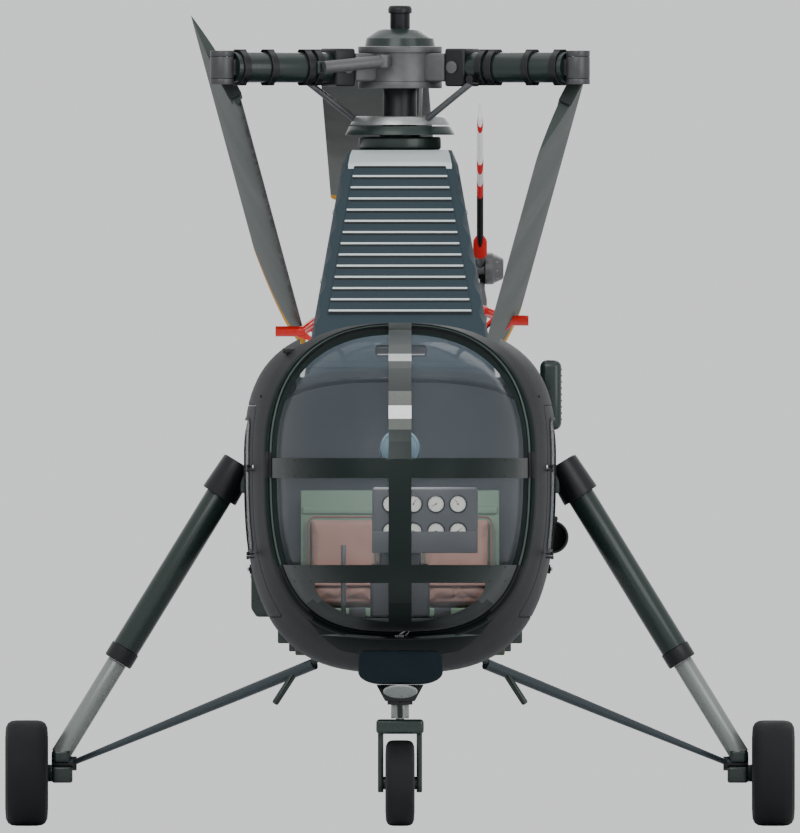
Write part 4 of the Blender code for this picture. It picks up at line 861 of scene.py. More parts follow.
def skin_frame(
    skin: Skin, side: Side, along_y: Point2, up: Point2, width: float, proud: float, radius: float
) -> Shape:
    """A narrow raised frame that follows the skin, such as a rubber seal or a panel's joint."""
    sheet = skin.sheet(0.006, -proud)
    outer = side_window(side, grown(along_y, width), grown(up, width), radius + width, (0.25, 1.05))
    hoop = carved(outer, side_window(side, along_y, up, radius, (0.2, 1.1)))
    return carved(sheet, hoop, "INTERSECT")


def stud(radius: float, height: float, place: Matrix, steps: int = 8) -> Shape:
    """A small round head, such as a bolt's or a rivet's."""
    profile = [(0.0, 0.0), (radius, 0.0), (radius * 0.92, height * 0.6), (radius * 0.5, height), (0.0, height)]
    return spun(profile, steps, place)


def stud_row(places: Iterable[Matrix], radius: float, height: float, steps: int = 8) -> Shape:
    """Many small heads as one shape."""
    gathered = bmesh.new()
    for place in places:
        poured(stud(radius, height, place, steps), gathered)
    return gathered


def skin_places(skin: Skin, y: float, count: int, inset: float) -> list[Matrix]:
    """Places on the skin at one station, each with its +Z out of the skin.

    Args:
        skin: the skin.
        y: the station.
        count: how many places, evenly round the section from port.
        inset: how deep they lie.
    """
    ring = skin.ring(skin.section(y), inset)
    total = len(ring)
    places = []
    for index in range(count):
        at = int(index / count * total)
        tangent = ring[(at + 1) % total] - ring[at - 1]
        normal = Vector((tangent.z, 0.0, -tangent.x))
        if normal.dot(ring[at] - Vector((0, y, 1.7))) < 0:
            normal = -normal
        places.append(heading(ring[at], normal))
    return places


@dataclass
class Nose:
    """The ring, the glazed dome with its frame, and what is fixed to them."""

    ring_depth: float = 0.05
    ring_width: float = 0.055
    length: float = 1.20
    inset: float = 0.035
    tip_z: float = 1.40
    power: float = 2.2
    end_share: float = 0.9992
    wall: float = 0.022
    glass_wall: float = 0.006
    post_half: float = 0.055
    upper_bar: Point2 = (1.673, 1.769)
    lower_bar: Point2 = (1.168, 1.255)
    arch_half: float = 0.41
    arch_low: float = 0.98
    steps: int = 24
    # The upper post's grey and white level bands are painted reflections of its facets.
    post_bands: Banded = Banded("post_bands", (
        (1.000, tint(27, 38, 36)), (1.843, tint(42, 51, 49)), (1.902, tint(92, 97, 93)),
        (1.953, tint(235, 237, 234)), (2.018, tint(98, 101, 97)), (2.091, tint(40, 47, 46)),
        (2.196, tint(58, 64, 62)), (2.2305, tint(182, 186, 186)), (2.265, tint(56, 62, 60)),
        (2.314, tint(40, 47, 46)), (2.378, tint(62, 68, 66)),
    ))

    @property
    def front(self) -> float:
        """The station of the ring's front face."""
        return RING_Y - self.ring_depth

    def dome(self, inset: float, back: float) -> Shape:
        """The space inside the dome: the ring's outline drawn in to the nose."""
        outline = CABIN_SKIN.ring(CABIN_SKIN.stations[0], self.inset + inset)
        rings = [[Vector((p.x, self.front + back, p.z)) for p in outline]]
        for step in range(self.steps + 1):
            share = min(math.sin(math.pi / 2 * step / self.steps), self.end_share)
            spread = (1 - share**self.power) ** (1 / self.power)
            y = self.front - (self.length - inset) * share
            rings.append([Vector((p.x * spread, y, self.tip_z + (p.z - self.tip_z) * spread)) for p in outline])
        if not back:
            rings.pop(0)
        return lofted(rings)

    def arch(self, side: Side) -> list[Point2]:
        """The outline of a lower window, round along its lower edge."""
        near = side.value * (self.post_half + 0.0005)
        drop = self.lower_bar[0] - self.arch_low
        points = [(near, self.lower_bar[0]), (side.value * self.arch_half, self.lower_bar[0])]
        for index in range(1, 17):
            angle = math.radians(82) * index / 16
            points.append(
                (side.value * self.arch_half * math.cos(angle), self.lower_bar[0] - drop * math.sin(angle))
            )
        points.append((near, self.arch_low))
        return points

    def frame_finish(self, middle: Vector) -> Finish:
        """Green bars, a glossier lower skin and the upper post painted in level bands of reflection."""
        if middle.z < self.arch_low + 0.10:
            return SKIN_GREEN
        if abs(middle.x) > 0.592 and middle.z > self.lower_bar[1]:
            return SHELL_GREY
        on_post = abs(middle.x) < self.post_half + 0.004 and middle.z > self.upper_bar[1]
        return self.post_bands if on_post else FRAME_GREEN

    def ring_finish(self, middle: Vector) -> Finish:
        """Green with the bead beside the glass painted light as a highlight, grey at the upper bar and under the lower
        one.
        """
        if abs(middle.z - 1.721) < 0.050:
            return SHELL_GREY
        if middle.z < self.lower_bar[1] + 0.009:
            return SKIN_GREEN if abs(middle.x) < 0.43 else SHELL_GREY
        # The bead's front face is painted light as a highlight.
        return BEAD_PAINTED_HIGHLIGHT if middle.y < self.front + 0.002 else FRAME_GREEN

    def ring(self) -> Shape:
        """The hoop between dome and cabin, with a raised bead along its middle."""
        width, back = self.ring_width, RING_Y - 0.001
        face = self.front + 0.004
        profile = [
            (0.0, back), (0.0, face + 0.006), (0.006, face), (0.017, face + 0.0005), (0.020, face + 0.003),
            (0.023, self.front + 0.001), (0.0275, self.front), (0.032, self.front + 0.001),
            (0.035, face + 0.003), (0.038, face), (width - 0.006, face + 0.0005),
            (width, face + 0.006), (width, back - 0.0006),
        ]
        section = CABIN_SKIN.stations[0]
        rings = []
        for inset, y in profile:
            row = []
            for rim, deep in zip(CABIN_SKIN.ring(section), CABIN_SKIN.ring(section, inset)):
                share = 1 - 0.60 * min(max((rim.z - 2.0) / 0.38, 0.0), 1.0)
                point = rim.lerp(deep, share)
                row.append(Vector((point.x, y, point.z)))
            rings.append(row)
        return lofted(rings, round_trip=True)

    def build(self) -> list[Object]:
        """Build the nose.

        Returns:
            The pieces.
        """
        tip = self.front - self.length - 0.1
        body = carved(self.dome(0, 0.01), self.dome(self.wall, 0.2))
        for side in Side:
            for low, high in ((self.upper_bar[1], 2.6), (self.lower_bar[1], self.upper_bar[0])):
                window = side_block(side, (self.post_half, 1.0), (tip, self.front - 0.002), (low, high), 0.0)
                body = carved(body, window)
            depth = self.front - 0.15 - tip
            arch = plate(self.arch(side), depth, facing_front(tip + depth / 2), 0.0)
            body = carved(body, arch)
        piece = dressed("nose_frame", "frame_paint")
        piece.add(body, self.frame_finish)
        piece.add(self.ring(), self.ring_finish)
        # The post's head carries the same painted reflection bands.
        head = block((-self.post_half, self.front - 0.003, 2.352), (self.post_half, self.front + 0.03, 2.4185), 0.002)
        piece.add(head, self.post_bands)
        grip_z = 2.284
        grip = block((-0.12, RING_Y - 0.047, grip_z - 0.028), (0.13, RING_Y - 0.005, grip_z + 0.028), 0.017, 5)
        piece.add(grip, MAST_BLACK)
        piece.add(block((-0.02, RING_Y - 0.035, grip_z), (0.02, RING_Y - 0.015, 2.38), 0.003), MAST_BLACK)
        self.add_chin(piece)
        self.add_latch(piece)
        self.add_rivets(piece)
        made = [piece.done()]

        lap = self.wall + CLEARANCE
        glass = carved(self.dome(lap, 0.0), self.dome(lap + self.glass_wall, 0.2))
        glass = carved(glass, block((-1, tip, 0.0), (1, 0, self.arch_low - 0.015), 0.0))
        pane = dressed("nose_glass", "glazing")
        pane.add(glass, GLASS_NOSE)
        made.append(pane.done())
        return made

    def surface_y(self, x: float, z: float) -> float:
        """The station of the dome's outer face at a point seen from the front."""
        section, waist = CABIN_SKIN.stations[0], CABIN_SKIN.waist
        top, bottom = section.top - self.inset, section.bottom + self.inset
        low, high = 0.0, self.end_share
        for _ in range(30):
            share = (low + high) / 2
            spread = (1 - share**self.power) ** (1 / self.power)
            up = (z - self.tip_z) / spread + self.tip_z - waist
            power = section.power if up > 0 else CABIN_SKIN.bottom_power
            reach = top - waist if up > 0 else waist - bottom
            across = abs(x) / spread / (section.half - self.inset)
            inside = across**power + (abs(up) / reach) ** power < 1
            low, high = (share, high) if inside else (low, share)
        return self.front - self.length * low

    def add_chin(self, piece: Piece) -> None:
        """Add the dark patch under the ring, and the joint line on each side of the latch painted light as a highlight.
        """
        edge = [(0.45, 1.00), (0.397, 0.934), (0.335, 0.876), (0.29, 0.845), (0.20, 0.80)]
        outline = edge + [(-x, z) for x, z in reversed(edge)]
        patch = CABIN_SKIN.band(RING_Y + 0.080, 0.155, 0.0022, 0.003)
        piece.add(carved(patch, plate(outline, 0.6, facing_front(RING_Y), 0.0), "INTERSECT"), SKIN_GREEN)
        for side in Side:
            sliver = [(0.0625, 0.9055), (0.10, 0.9020), (0.20, 0.9050), (0.396, 0.9185), (0.28, 0.9235), (0.10, 0.9120)]
            line = [(side.value * x, z) for x, z in sliver]
            near = plate(line, 0.050, facing_front(self.front + 0.025), 0.0)
            # The joint line is painted light as a highlight.
            piece.add(carved(near, block((-0.265, -20, 0.0), (0.265, 20, 2.0), 0.0), "INTERSECT"), BEAD_PAINTED_HIGHLIGHT)
            strap = CABIN_SKIN.band(RING_Y + 0.075, 0.14, 0.0034, 0.003)
            far = plate(line, 0.6, facing_front(RING_Y), 0.0)
            piece.add(carved(strap, far, "INTERSECT"), BEAD_PAINTED_HIGHLIGHT)

    def add_latch(self, piece: Piece) -> None:
        """Add the small bright clip low on the middle of the lower skin."""
        y = self.surface_y(0.0, 0.935) - 0.004
        clip = block((-0.026, y - 0.010, 0.908), (0.020, y + 0.03, 0.921), 0.004)
        piece.add(clip, STEEL)
        lever = block((-0.004, -0.006, 0.0), (0.004, 0.006, 0.045), 0.003)
        lean = Matrix.Translation((0.026, y - 0.008, 0.914)) @ Matrix.Rotation(math.radians(38), 4, "Y")
        piece.add(lever, STEEL, lean @ HALF_TURN)
        lid = block((-0.020, -0.003, -0.006), (0.020, 0.003, 0.006), 0.002)
        hold = Matrix.Translation((0.012, y - 0.004, 0.930)) @ Matrix.Rotation(math.radians(-42), 4, "Y")
        piece.add(lid, STEEL, hold)

    def add_rivets(self, piece: Piece) -> None:
        """Add the small heads along the frame's level bars."""
        places = []
        for bar in (self.upper_bar, self.lower_bar):
            for z in (bar[0] + 0.010, bar[1] - 0.010):
                for index in range(1, 7):
                    for side in Side:
                        x = side.value * (self.post_half + 0.075 * index)
                        y = self.surface_y(x, z)
                        places.append(along((x, y + 0.001, z), (x * 1.05, y - 1.0, z)))
        piece.add(stud_row(places, 0.0035, 0.0022), FRAME_GREEN)


@dataclass
class Cabin:
    """The cabin's skin, both doors, all panes and what is fixed outside."""

    wall: float = 0.035
    glass_wall: float = 0.006
    door_y: Point2 = (MAST.y - 2.08, MAST.y - 1.05)
    door_z: Point2 = (1.008, 2.02)
    gap: float = 0.006
    aft_gap: float = 0.020
    rail: float = 0.075
    door_window_z: Point2 = (1.33, 1.95)
    side_window_y: Point2 = (MAST.y - 0.92, MAST.y - 0.52)
    side_window_z: Point2 = (1.40, 1.92)
    roof_window_y: Point2 = (MAST.y - 2.14, MAST.y - 1.06)
    roof_window_half: float = 0.48
    roof_rib_half: float = 0.03
    corner: float = 0.045
    lap: float = 0.02
    hinge_x: float = 0.732
    hinge_radius: float = 0.007
    hinge_heights: Point2 = (1.30, 1.72)
    handle_z: float = 1.235

    def roof_window(self, side: Side, grow: float = 0.0) -> Shape:
        """A cutter through one half of the roof, its corners rounded in plan."""
        x0, x1 = self.roof_rib_half - grow, self.roof_window_half + grow
        y0, y1 = grown(self.roof_window_y, grow)
        corners = [(side.value * x, y) for x, y in ((x0, y0), (x1, y0), (x1, y1), (x0, y1))]
        if side is Side.STARBOARD:
            corners.reverse()
        return plate(eased(corners, self.corner, 5), 1.2, Matrix.Translation((0, 0, 2.4)), 0.0)

    @property
    def window_y(self) -> Point2:
        """The front and back of the door's window."""
        return self.door_y[0] + self.rail, self.door_y[1] - self.rail

    def build(self) -> list[Object]:
        """Build the cabin.

        Returns:
            The pieces.
        """
        shell = CABIN_SKIN.sheet(self.wall)
        opening_y = (self.door_y[0] - self.gap, self.door_y[1] + self.aft_gap)
        for side in Side:
            shell = carved(shell, side_window(side, opening_y, grown(self.door_z, self.gap), self.corner))
            shell = carved(shell, side_window(side, self.side_window_y, self.side_window_z, self.corner))
            shell = carved(shell, self.roof_window(side))
        piece = dressed("cabin_shell", "shell_paint")
        piece.add(soften(shell, 0.0015, 1, 50.0), SHELL_GREY)
        for side in Side:
            self.add_outside(piece, side)
        for y in (MAST.y - 0.98, CABIN_END_Y - 0.02):
            piece.add(stud_row(skin_places(CABIN_SKIN, y, 88, inset=0.0005), 0.0035, 0.002, 6), SHELL_GREY)
        made = [piece.done()]
        for side in Side:
            made.append(self.door(side))
        made += self.panes()
        return made

    def add_outside(self, piece: Piece, side: Side) -> None:
        """Add the seals, hinge halves, bolts (the upper one painted cream as a glint) and gutter of one side."""
        seal = skin_frame(CABIN_SKIN, side, self.side_window_y, self.side_window_z, 0.014, 0.004, self.corner)
        piece.add(seal, SHELL_GREY)
        lining = CABIN_SKIN.sheet(self.wall + 0.008, self.wall + 2 * CLEARANCE)
        hoop = side_window(side, grown(self.door_y, 0.032), grown(self.door_z, 0.020), self.corner, (0.3, 1.05))
        hole = side_window(side, grown(self.door_y, -0.015), grown(self.door_z, -0.015), self.corner, (0.2, 1.1))
        piece.add(carved(lining, carved(hoop, hole), "INTERSECT"), TRIM_BLACK)
        rubber = CABIN_SKIN.sheet(self.wall + 0.001, 0.003)
        low, high = self.door_z
        for span in ((high + 0.001, high + 0.0065), (low - 0.0065, low - 0.001)):
            strip = side_block(side, (0.3, 1.05), grown(self.door_y, -0.012), span, 0.0)
            piece.add(carved(rubber.copy(), strip, "INTERSECT"), TRIM_BLACK)
        self.add_hinges(piece, side, (-0.018, -0.001), (-0.022, -0.003), (-0.014, -0.004))
        bolt_y = RING_Y + 0.160
        # The upper bolt head is painted cream as a glint; the lower one is steel.
        for z, radius, finish in ((1.728, 0.0095, DIAL_AND_GLINT_CREAM), (1.714, 0.0075, STEEL)):
            foot = Vector((side.value * 0.701, bolt_y, z))
            piece.add(stud(radius, 0.010, heading(foot, (side.value, -1.6, 0)), 16), finish)
        foot = Vector((side.value * 0.668, RING_Y + 0.075, 1.720))
        piece.add(stud(0.006, 0.006, heading(foot, (side.value, -1.6, 0)), 12), HUB_GREY)
        if side is Side.STARBOARD:
            piece.add(block((-0.565, RING_Y + 0.12, 2.272), (-0.485, RING_Y + 0.17, 2.2985), 0.006, 2), MAST_BLACK)
        rail_z = self.door_z[1] + 0.045
        stations = (self.door_y[0] - 0.03, MAST.y - 1.6, self.door_y[1] + 0.05)
        line = [Vector((side.value * CABIN_SKIN.reach(y, rail_z), y, rail_z)) for y in stations]
        piece.add(piped(line, 0.007), SHELL_GREY)

    def add_hinges(self, piece: Piece, side: Side, barrel: Point2, along_y: Point2, up: Point2) -> None:
        """Add one half of a door's two hinges.

        Args:
            piece: the skin or the door, which takes the half.
            side: the door's side.
            barrel: the barrel's ends above each hinge's height.
            along_y: the leaf's front and back from the hinge line.
            up: the leaf's bottom and top above each hinge's height.
        """
        y = self.door_y[0]
        for height in self.hinge_heights:
            low, high = (Vector((side.value * self.hinge_x, y, height + end)) for end in barrel)
            piece.add(rod(low, high, self.hinge_radius), SHELL_GREY)
            front_back = (y + along_y[0], y + along_y[1])
            leaf = side_block(side, (0.700, self.hinge_x), front_back, (height + up[0], height + up[1]), 0.002)
            piece.add(leaf, SHELL_GREY)

    def door(self, side: Side) -> Object:
        """One door with its seal, hinges and handle."""
        panel = CABIN_SKIN.sheet(self.wall)
        panel = carved(panel, side_window(side, self.door_y, self.door_z, self.corner - 0.006), "INTERSECT")
        panel = carved(panel, side_window(side, self.window_y, self.door_window_z, self.corner))
        piece = dressed(f"door_{side.label}", "shell_paint", f"{side.label}_door")
        piece.add(soften(panel, 0.002, 2, 50.0), SHELL_GREY)
        seal = skin_frame(CABIN_SKIN, side, self.window_y, self.door_window_z, 0.014, 0.004, self.corner)
        piece.add(seal, SHELL_GREY)
        self.add_hinges(piece, side, (0.0, 0.018), (0.003, 0.045), (0.004, 0.014))
        y, z = self.door_y[1] - 0.10, self.handle_z
        out = CABIN_SKIN.reach(y, z)
        piece.add(rod((side.value * (out - 0.004), y, z), (side.value * (out + 0.012), y, z), 0.022), TRIM_BLACK)
        lever = side_block(side, (out + 0.010, out + 0.022), (y - 0.105, y + 0.012), (z - 0.010, z + 0.010), 0.004, 3)
        piece.add(lever, STEEL)
        return piece.done()

    def panes(self) -> list[Object]:
        """The doors', side and roof glass."""
        lap = self.wall + CLEARANCE
        made = []
        for side in Side:
            doors = (f"door_glass_{side.label}", f"{side.label}_door", self.window_y, self.door_window_z)
            sides = (f"side_window_{side.label}", "airframe", self.side_window_y, self.side_window_z)
            for name, body, span_y, span_z in (doors, sides):
                cutter = side_window(side, grown(span_y, -CLEARANCE), grown(span_z, -CLEARANCE), self.corner)
                pane = dressed(name, "glazing", body)
                sheet = CABIN_SKIN.sheet(2 * self.glass_wall, self.glass_wall)
                pane.add(carved(sheet, cutter, "INTERSECT"), GLASS_SIDE)
                made.append(pane.done())
        pane = dressed("roof_glass", "glazing")
        y0, y1 = grown(self.roof_window_y, self.lap)
        half = self.roof_window_half + self.lap
        sheet = CABIN_SKIN.sheet(lap + self.glass_wall, lap)
        pane.add(carved(sheet, block((-half, y0, 1.9), (half, y1, 3.0), 0.0), "INTERSECT"), GLASS_SIDE)
        made.append(pane.done())
        return made


@dataclass
class EngineBay:
    """The bay behind the cabin and what is fixed to its sides."""

    wall: float = 0.03
    louvre_half: float = 0.14
    louvre_pitch: float = 0.072
    pipe_x: float = 0.731
    pipe_z: float = 1.389
    pod_y: Point2 = (MAST.y - 0.34, MAST.y - 0.04)

    def build(self) -> list[Object]:
        """Build the bay.

        Returns:
            The pieces.
        """
        hole = rod((0, MAST.y, 2.0), (0, MAST.y, 2.4), MAST_HOLE, 48, 0.0)
        shell = carved(BAY_SKIN.sheet(self.wall), hole)
        piece = dressed("engine_bay", "shell_paint")
        piece.add(shell, SHELL_GREY)
        for y in (CABIN_END_Y + 0.0005, BOOM_FRONT_Y + 0.0005):
            piece.add((CABIN_SKIN if y < MAST.y else BAY_SKIN).band(y, 0.012, 0.0010, 0.006), SHELL_GREY)
        piece.add(BAY_SKIN.band(MAST.y - 0.375, 0.040, 0.0022), SHELL_GREY)
        piece.add(BAY_SKIN.band(BOOM_FRONT_Y - 0.03, 0.050, 0.0022), SHELL_GREY)
        for side in Side:
            door_y, door_z = (MAST.y - 0.02, MAST.y + 0.98), (1.18, 1.92)
            piece.add(skin_frame(BAY_SKIN, side, door_y, door_z, 0.005, 0.0010, 0.06), SEAM_AND_SHADOW_BLACK)
            self.add_louvres(piece, side)
            self.add_catches(piece, side, door_y, door_z)
        for y in (MAST.y - 0.385, MAST.y - 0.365, BOOM_FRONT_Y - 0.042, BOOM_FRONT_Y - 0.018):
            places = skin_places(BAY_SKIN, y, 72, inset=-0.002)
            piece.add(stud_row(places, 0.0035, 0.002, 6), SHELL_GREY)
        made = [piece.done()]
        made += [self.pipe(), self.capsule(), self.locker()]
        return made

    def add_louvres(self, piece: Piece, side: Side) -> None:
        """Add the cooling louvres in two columns on one side, each with a black strip of painted shadow under its lip.
        """
        half = self.louvre_half
        outward = Matrix.Identity(4) if side is Side.PORT else HALF_TURN
        for column in (0.14, 0.56):
            for row in range(7):
                y, z = MAST.y + column, 1.33 + self.louvre_pitch * row
                ahead, after = BAY_SKIN.section(y).half, BAY_SKIN.section(y + 2 * half).half
                swing = math.atan2(after - ahead, 2 * half) * side.value
                middle = (side.value * BAY_SKIN.reach(y + half, z), y + half, z)
                place = Matrix.Translation(middle) @ Matrix.Rotation(-swing, 4, "Z")
                piece.add(block((-0.012, -half, -0.013), (0.014, half, 0.013), 0.006, 3), SHELL_GREY, place)
                # A black strip painted as the shadow in the louvre's opening.
                slit = block((-0.010, 0.015 - half, -0.0165), (0.011, half - 0.015, -0.0125), 0.001)
                piece.add(slit, SEAM_AND_SHADOW_BLACK, place @ outward)

    def add_catches(self, piece: Piece, side: Side, door_y: Point2, door_z: Point2) -> None:
        """Add the quick catches around one cowl door."""
        places = []
        for share in (0.1, 0.37, 0.63, 0.9):
            y = door_y[0] + (door_y[1] - door_y[0]) * share
            for z in door_z:
                foot = Vector((side.value * (BAY_SKIN.reach(y, z) - 0.002), y, z))
                places.append(heading(foot, (side.value, 0.0, 0.35 * (z - BAY_SKIN.waist))))
        piece.add(stud_row(places, 0.011, 0.005, 14), STEEL)

    def pipe(self) -> Object:
        """The black pipe low on the port side, its mouth forward."""
        profile = [
            (0.0, 0.46), (0.05, 0.46), (0.077, 0.40), (0.077, 0.012), (0.080, 0.010), (0.080, 0.0),
            (0.066, 0.0), (0.066, 0.22), (0.0, 0.22),
        ]
        place = Matrix.Translation((self.pipe_x, MAST.y - 0.30, self.pipe_z)) @ UP_TO_BACK
        tube = spun(eased(profile, 0.006, 2, closed=False), 56, place)
        piece = dressed("exhaust_pipe", "black_paint")
        piece.add(tube, MAST_BLACK)
        knob = [
            (0.0, 0.034), (0.009, 0.034), (0.014, 0.028), (0.014, 0.016), (0.009, 0.010), (0.009, -0.02), (0.0, -0.02),
        ]
        piece.add(spun(knob, 24, Matrix.Translation((self.pipe_x + 0.014, MAST.y - 0.27, 1.455))), TRIM_BLACK)
        for reach in (0.08, 0.33):
            place = Matrix.Translation((self.pipe_x, MAST.y - 0.30 + reach, self.pipe_z)) @ UP_TO_BACK
            strap = [(0.0765, -0.012), (0.0795, -0.012), (0.0795, 0.012), (0.0765, 0.012)]
            piece.add(spun(strap, 48, place, True), HUB_GREY)
        return piece.done()

    def capsule(self) -> Object:
        """The upright green capsule on the port shoulder, ribbed on its outer edge."""
        piece = dressed("port_capsule", "frame_paint")
        low, high = self.pod_y
        piece.add(block((0.673, low, 1.904), (0.776, high, 2.24), 0.034, 6), LEG_GREEN)
        piece.add(block((0.45, low + 0.08, 1.94), (0.69, high - 0.08, 2.02), 0.006), LEG_GREEN)
        for index in range(9):
            z = 1.950 + 0.030 * index
            piece.add(block((0.700, low + 0.03, z), (0.7795, high - 0.03, z + 0.010), 0.004, 3), LEG_GREEN)
        return piece.done()

    def locker(self) -> Object:
        """The flat green box low on the starboard side, with a cut lower corner."""
        low, high = self.pod_y
        outline = [(-0.716, 1.255), (-0.716, 1.045), (-0.690, 1.005), (-0.54, 1.005), (-0.54, 1.255)]
        piece = dressed("starboard_box", "frame_paint")
        case = plate(eased(outline, 0.012, 4), high - low, facing_front((low + high) / 2), 0.006)
        piece.add(case, LEG_GREEN)
        piece.add(block((-0.719, low + 0.05, 1.19), (-0.70, low + 0.11, 1.215), 0.003), STEEL)
        piece.add(block((-0.719, high - 0.11, 1.19), (-0.70, high - 0.05, 1.215), 0.003), STEEL)
        return piece.done()


@dataclass
class Interior:
    """What shows through the glass: floor, bulkhead, seats, bench, panel, pod and stick."""

    lining: float = 0.038
    floor_z: float = 1.0
    bulkhead_y: float = MAST.y - 0.46
    seat_half: float = 0.48
    seat_front: float = RING_Y + 0.46
    seat_back_y: float = MAST.y - 1.27
    cushion_x: Point2 = (0.10, 0.447)
    piping_out: float = 0.007
    panel_y: float = RING_Y - 0.20
    dial_radius: float = 0.039
    dial_x: tuple[float, ...] = (-0.043, 0.065, 0.173, 0.279)
    dial_rows: Point2 = (1.548, 1.417)
    cloth_frames: int = 20

    def inside(self, shape: Shape) -> Shape:
        """Trim a shape to the cabin's inner wall."""
        return carved(shape, CABIN_SKIN.volume(self.lining, 0.4, 0.4), "INTERSECT")

    def build(self) -> list[Object]:
        """Build the interior.

        Returns:
            The pieces.
        """
        made = [self.floor(), self.bulkhead(), self.seats(), self.bench(), self.panel(), self.stick()]
        for side in Side:
            made += self.cushion(side)
        return made

    def floor(self) -> Object:
        """The floor with its tongue into the nose, the pads on it and the pedals."""
        piece = dressed("cabin_floor", "floor_alloy")
        slab = block((-0.8, RING_Y + 0.005, 0.9705), (0.8, self.bulkhead_y - 0.001, self.floor_z - 0.0005), 0.0)
        piece.add(self.inside(slab), FLOOR_GREY)
        tongue = block((-0.249, RING_Y - 0.299, 0.9706), (0.249, RING_Y + 0.01, self.floor_z - 0.0006), 0.004)
        piece.add(tongue, FLOOR_GREY)
        for side in Side:
            for index in range(3):
                y = RING_Y - 0.22 + 0.07 * index
                pad = side_block(side, (0.16, 0.235), (y, y + 0.045), (self.floor_z, self.floor_z + 0.012), 0.004)
                piece.add(pad, TRIM_BLACK)
            pedal = side_block(side, (0.165, 0.245), (RING_Y - 0.27, RING_Y - 0.255), (1.0, 1.050), 0.005, 3)
            piece.add(pedal, PANEL_GREY)
            foot, head = (Vector((side.value * 0.205, RING_Y - 0.262, z)) for z in (0.999, 1.04))
            piece.add(rod(foot, head, 0.008), TRIM_BLACK)
        return piece.done()

    def bulkhead(self) -> Object:
        """The plain rear wall."""
        piece = dressed("rear_bulkhead", "panel_trim")
        wall = block((-0.8, self.bulkhead_y, 1.0), (0.8, self.bulkhead_y + 0.0245, 2.4), 0.0)
        piece.add(self.inside(wall), WALL_GREY)
        return piece.done()

    def seats(self) -> Object:
        """The green shell that carries both front seats."""
        piece = dressed("seat_frame", "seat_shell")
        half, front, back = self.seat_half, self.seat_front, self.seat_back_y
        piece.add(block((-half + 0.002, front + 0.002, 1.0005), (half - 0.002, back, 1.049), 0.012, 3), SEAT_GREEN)
        outline = [(back + 0.001, 1.001), (back + 0.06, 1.6145), (back + 0.099, 1.6145), (back + 0.049, 1.001)]
        shell = plate(eased(outline, 0.012, 3), 2 * half - 0.004, facing_side(0.0), 0.010)
        piece.add(shell, SEAT_GREEN)
        for side in Side:
            lip = [(side.value * x, z) for x, z in ((0.08, 1.50), (0.47, 1.50), (0.47, 1.535), (0.08, 1.535))]
            if side is Side.STARBOARD:
                lip.reverse()
            bead = plate(eased(lip, 0.010, 3), 0.016, facing_front(back + 0.045), 0.006)
            piece.add(bead, SEAT_GREEN)
        return piece.done()

    def pad_shape(self, low: Vector, high: Vector, lean: float) -> Shape:
        """A pad as a soft block that leans back with the seat."""
        pad = block(low, high, 0.022, 3)
        for vert in pad.verts:
            vert.co.y += (vert.co.z - low.z) * lean
        return pad

    def inflated(self, pad: Shape, cap: float) -> Shape:
        """Blow a closed form up as stuffed cloth does, no point moving further than a cap."""
        holder = held(pad)
        remesh = holder.modifiers.new("remesh", "REMESH")
        remesh.mode = "VOXEL"
        remesh.voxel_size = 0.006
        base = evaluated(holder)
        bpy.data.objects.remove(holder)
        start = [vert.co.copy() for vert in base.verts]
        holder = held(base)
        cloth = holder.modifiers.new("cloth", "CLOTH")
        cloth.settings.use_pressure = True
        cloth.settings.uniform_pressure_force = 4.0
        cloth.settings.effector_weights.gravity = 0.0
        cloth.settings.quality = 5
        cloth.point_cache.frame_start = 1
        cloth.point_cache.frame_end = self.cloth_frames
        scene = bpy.context.scene
        for step in range(1, self.cloth_frames + 1):
            scene.frame_set(step)
        blown = evaluated(holder)
        bpy.data.objects.remove(holder)
        scene.frame_set(1)
        blown.verts.ensure_lookup_table()
        for vert, origin in zip(blown.verts, start):
            move = vert.co - origin
            if move.length > cap:
                vert.co = origin + move.normalized() * cap
        bmesh.ops.smooth_vert(
            blown, verts=blown.verts, factor=0.5, use_axis_x=True, use_axis_y=True, use_axis_z=True
        )
        return blown

    def cushion(self, side: Side) -> list[Object]:
        """The squab and back pad of one seat, with the piping along their edges."""
        x0, x1 = sorted(side.value * x for x in self.cushion_x)
        x0, x1, back = x0 + 0.012, x1 - 0.012, self.seat_back_y
        slabs = (
            ("squab", (x0, self.seat_front - 0.010, 1.062), (x1, back - 0.10, 1.192), 0.0, f"cushion_{side.label}"),
            ("backrest", (x0, back - 0.078, 1.10), (x1, back - 0.018, 1.480), 0.098, None),
        )
        pieces = []
        for name, start, end, tilt, node in slabs:
            low, high = Vector(start), Vector(end)
            pad = self.inflated(self.pad_shape(low, high, tilt), 0.010)
            piece = Piece(f"{name}_{side.label}", "cushion_fabric", replaced=node)
            piece.add(pad, CUSHION_ROSE)
            middle = (low + high) / 2
            if node:
                middle.z += 0.03
                corners = [(low.x, low.y), (high.x, low.y), (high.x, high.y), (low.x, high.y)]
                row = [Vector((x, y, middle.z)) for x, y in eased(corners, 0.035, 6)]
            else:
                middle.y = low.y
                corners = [(low.x, low.z), (high.x, low.z), (high.x, high.z), (low.x, high.z)]
                row = [Vector((x, low.y + 0.012 + (z - low.z) * tilt, z)) for x, z in eased(corners, 0.035, 6)]
            row = [point + (point - middle).normalized() * self.piping_out for point in row]
            piece.add(piped(row + row[:1], 0.0055), PIPING_ROSE)
            pieces.append(piece)
        made = []
        for piece in pieces:
            made.append(piece.done())
        return made

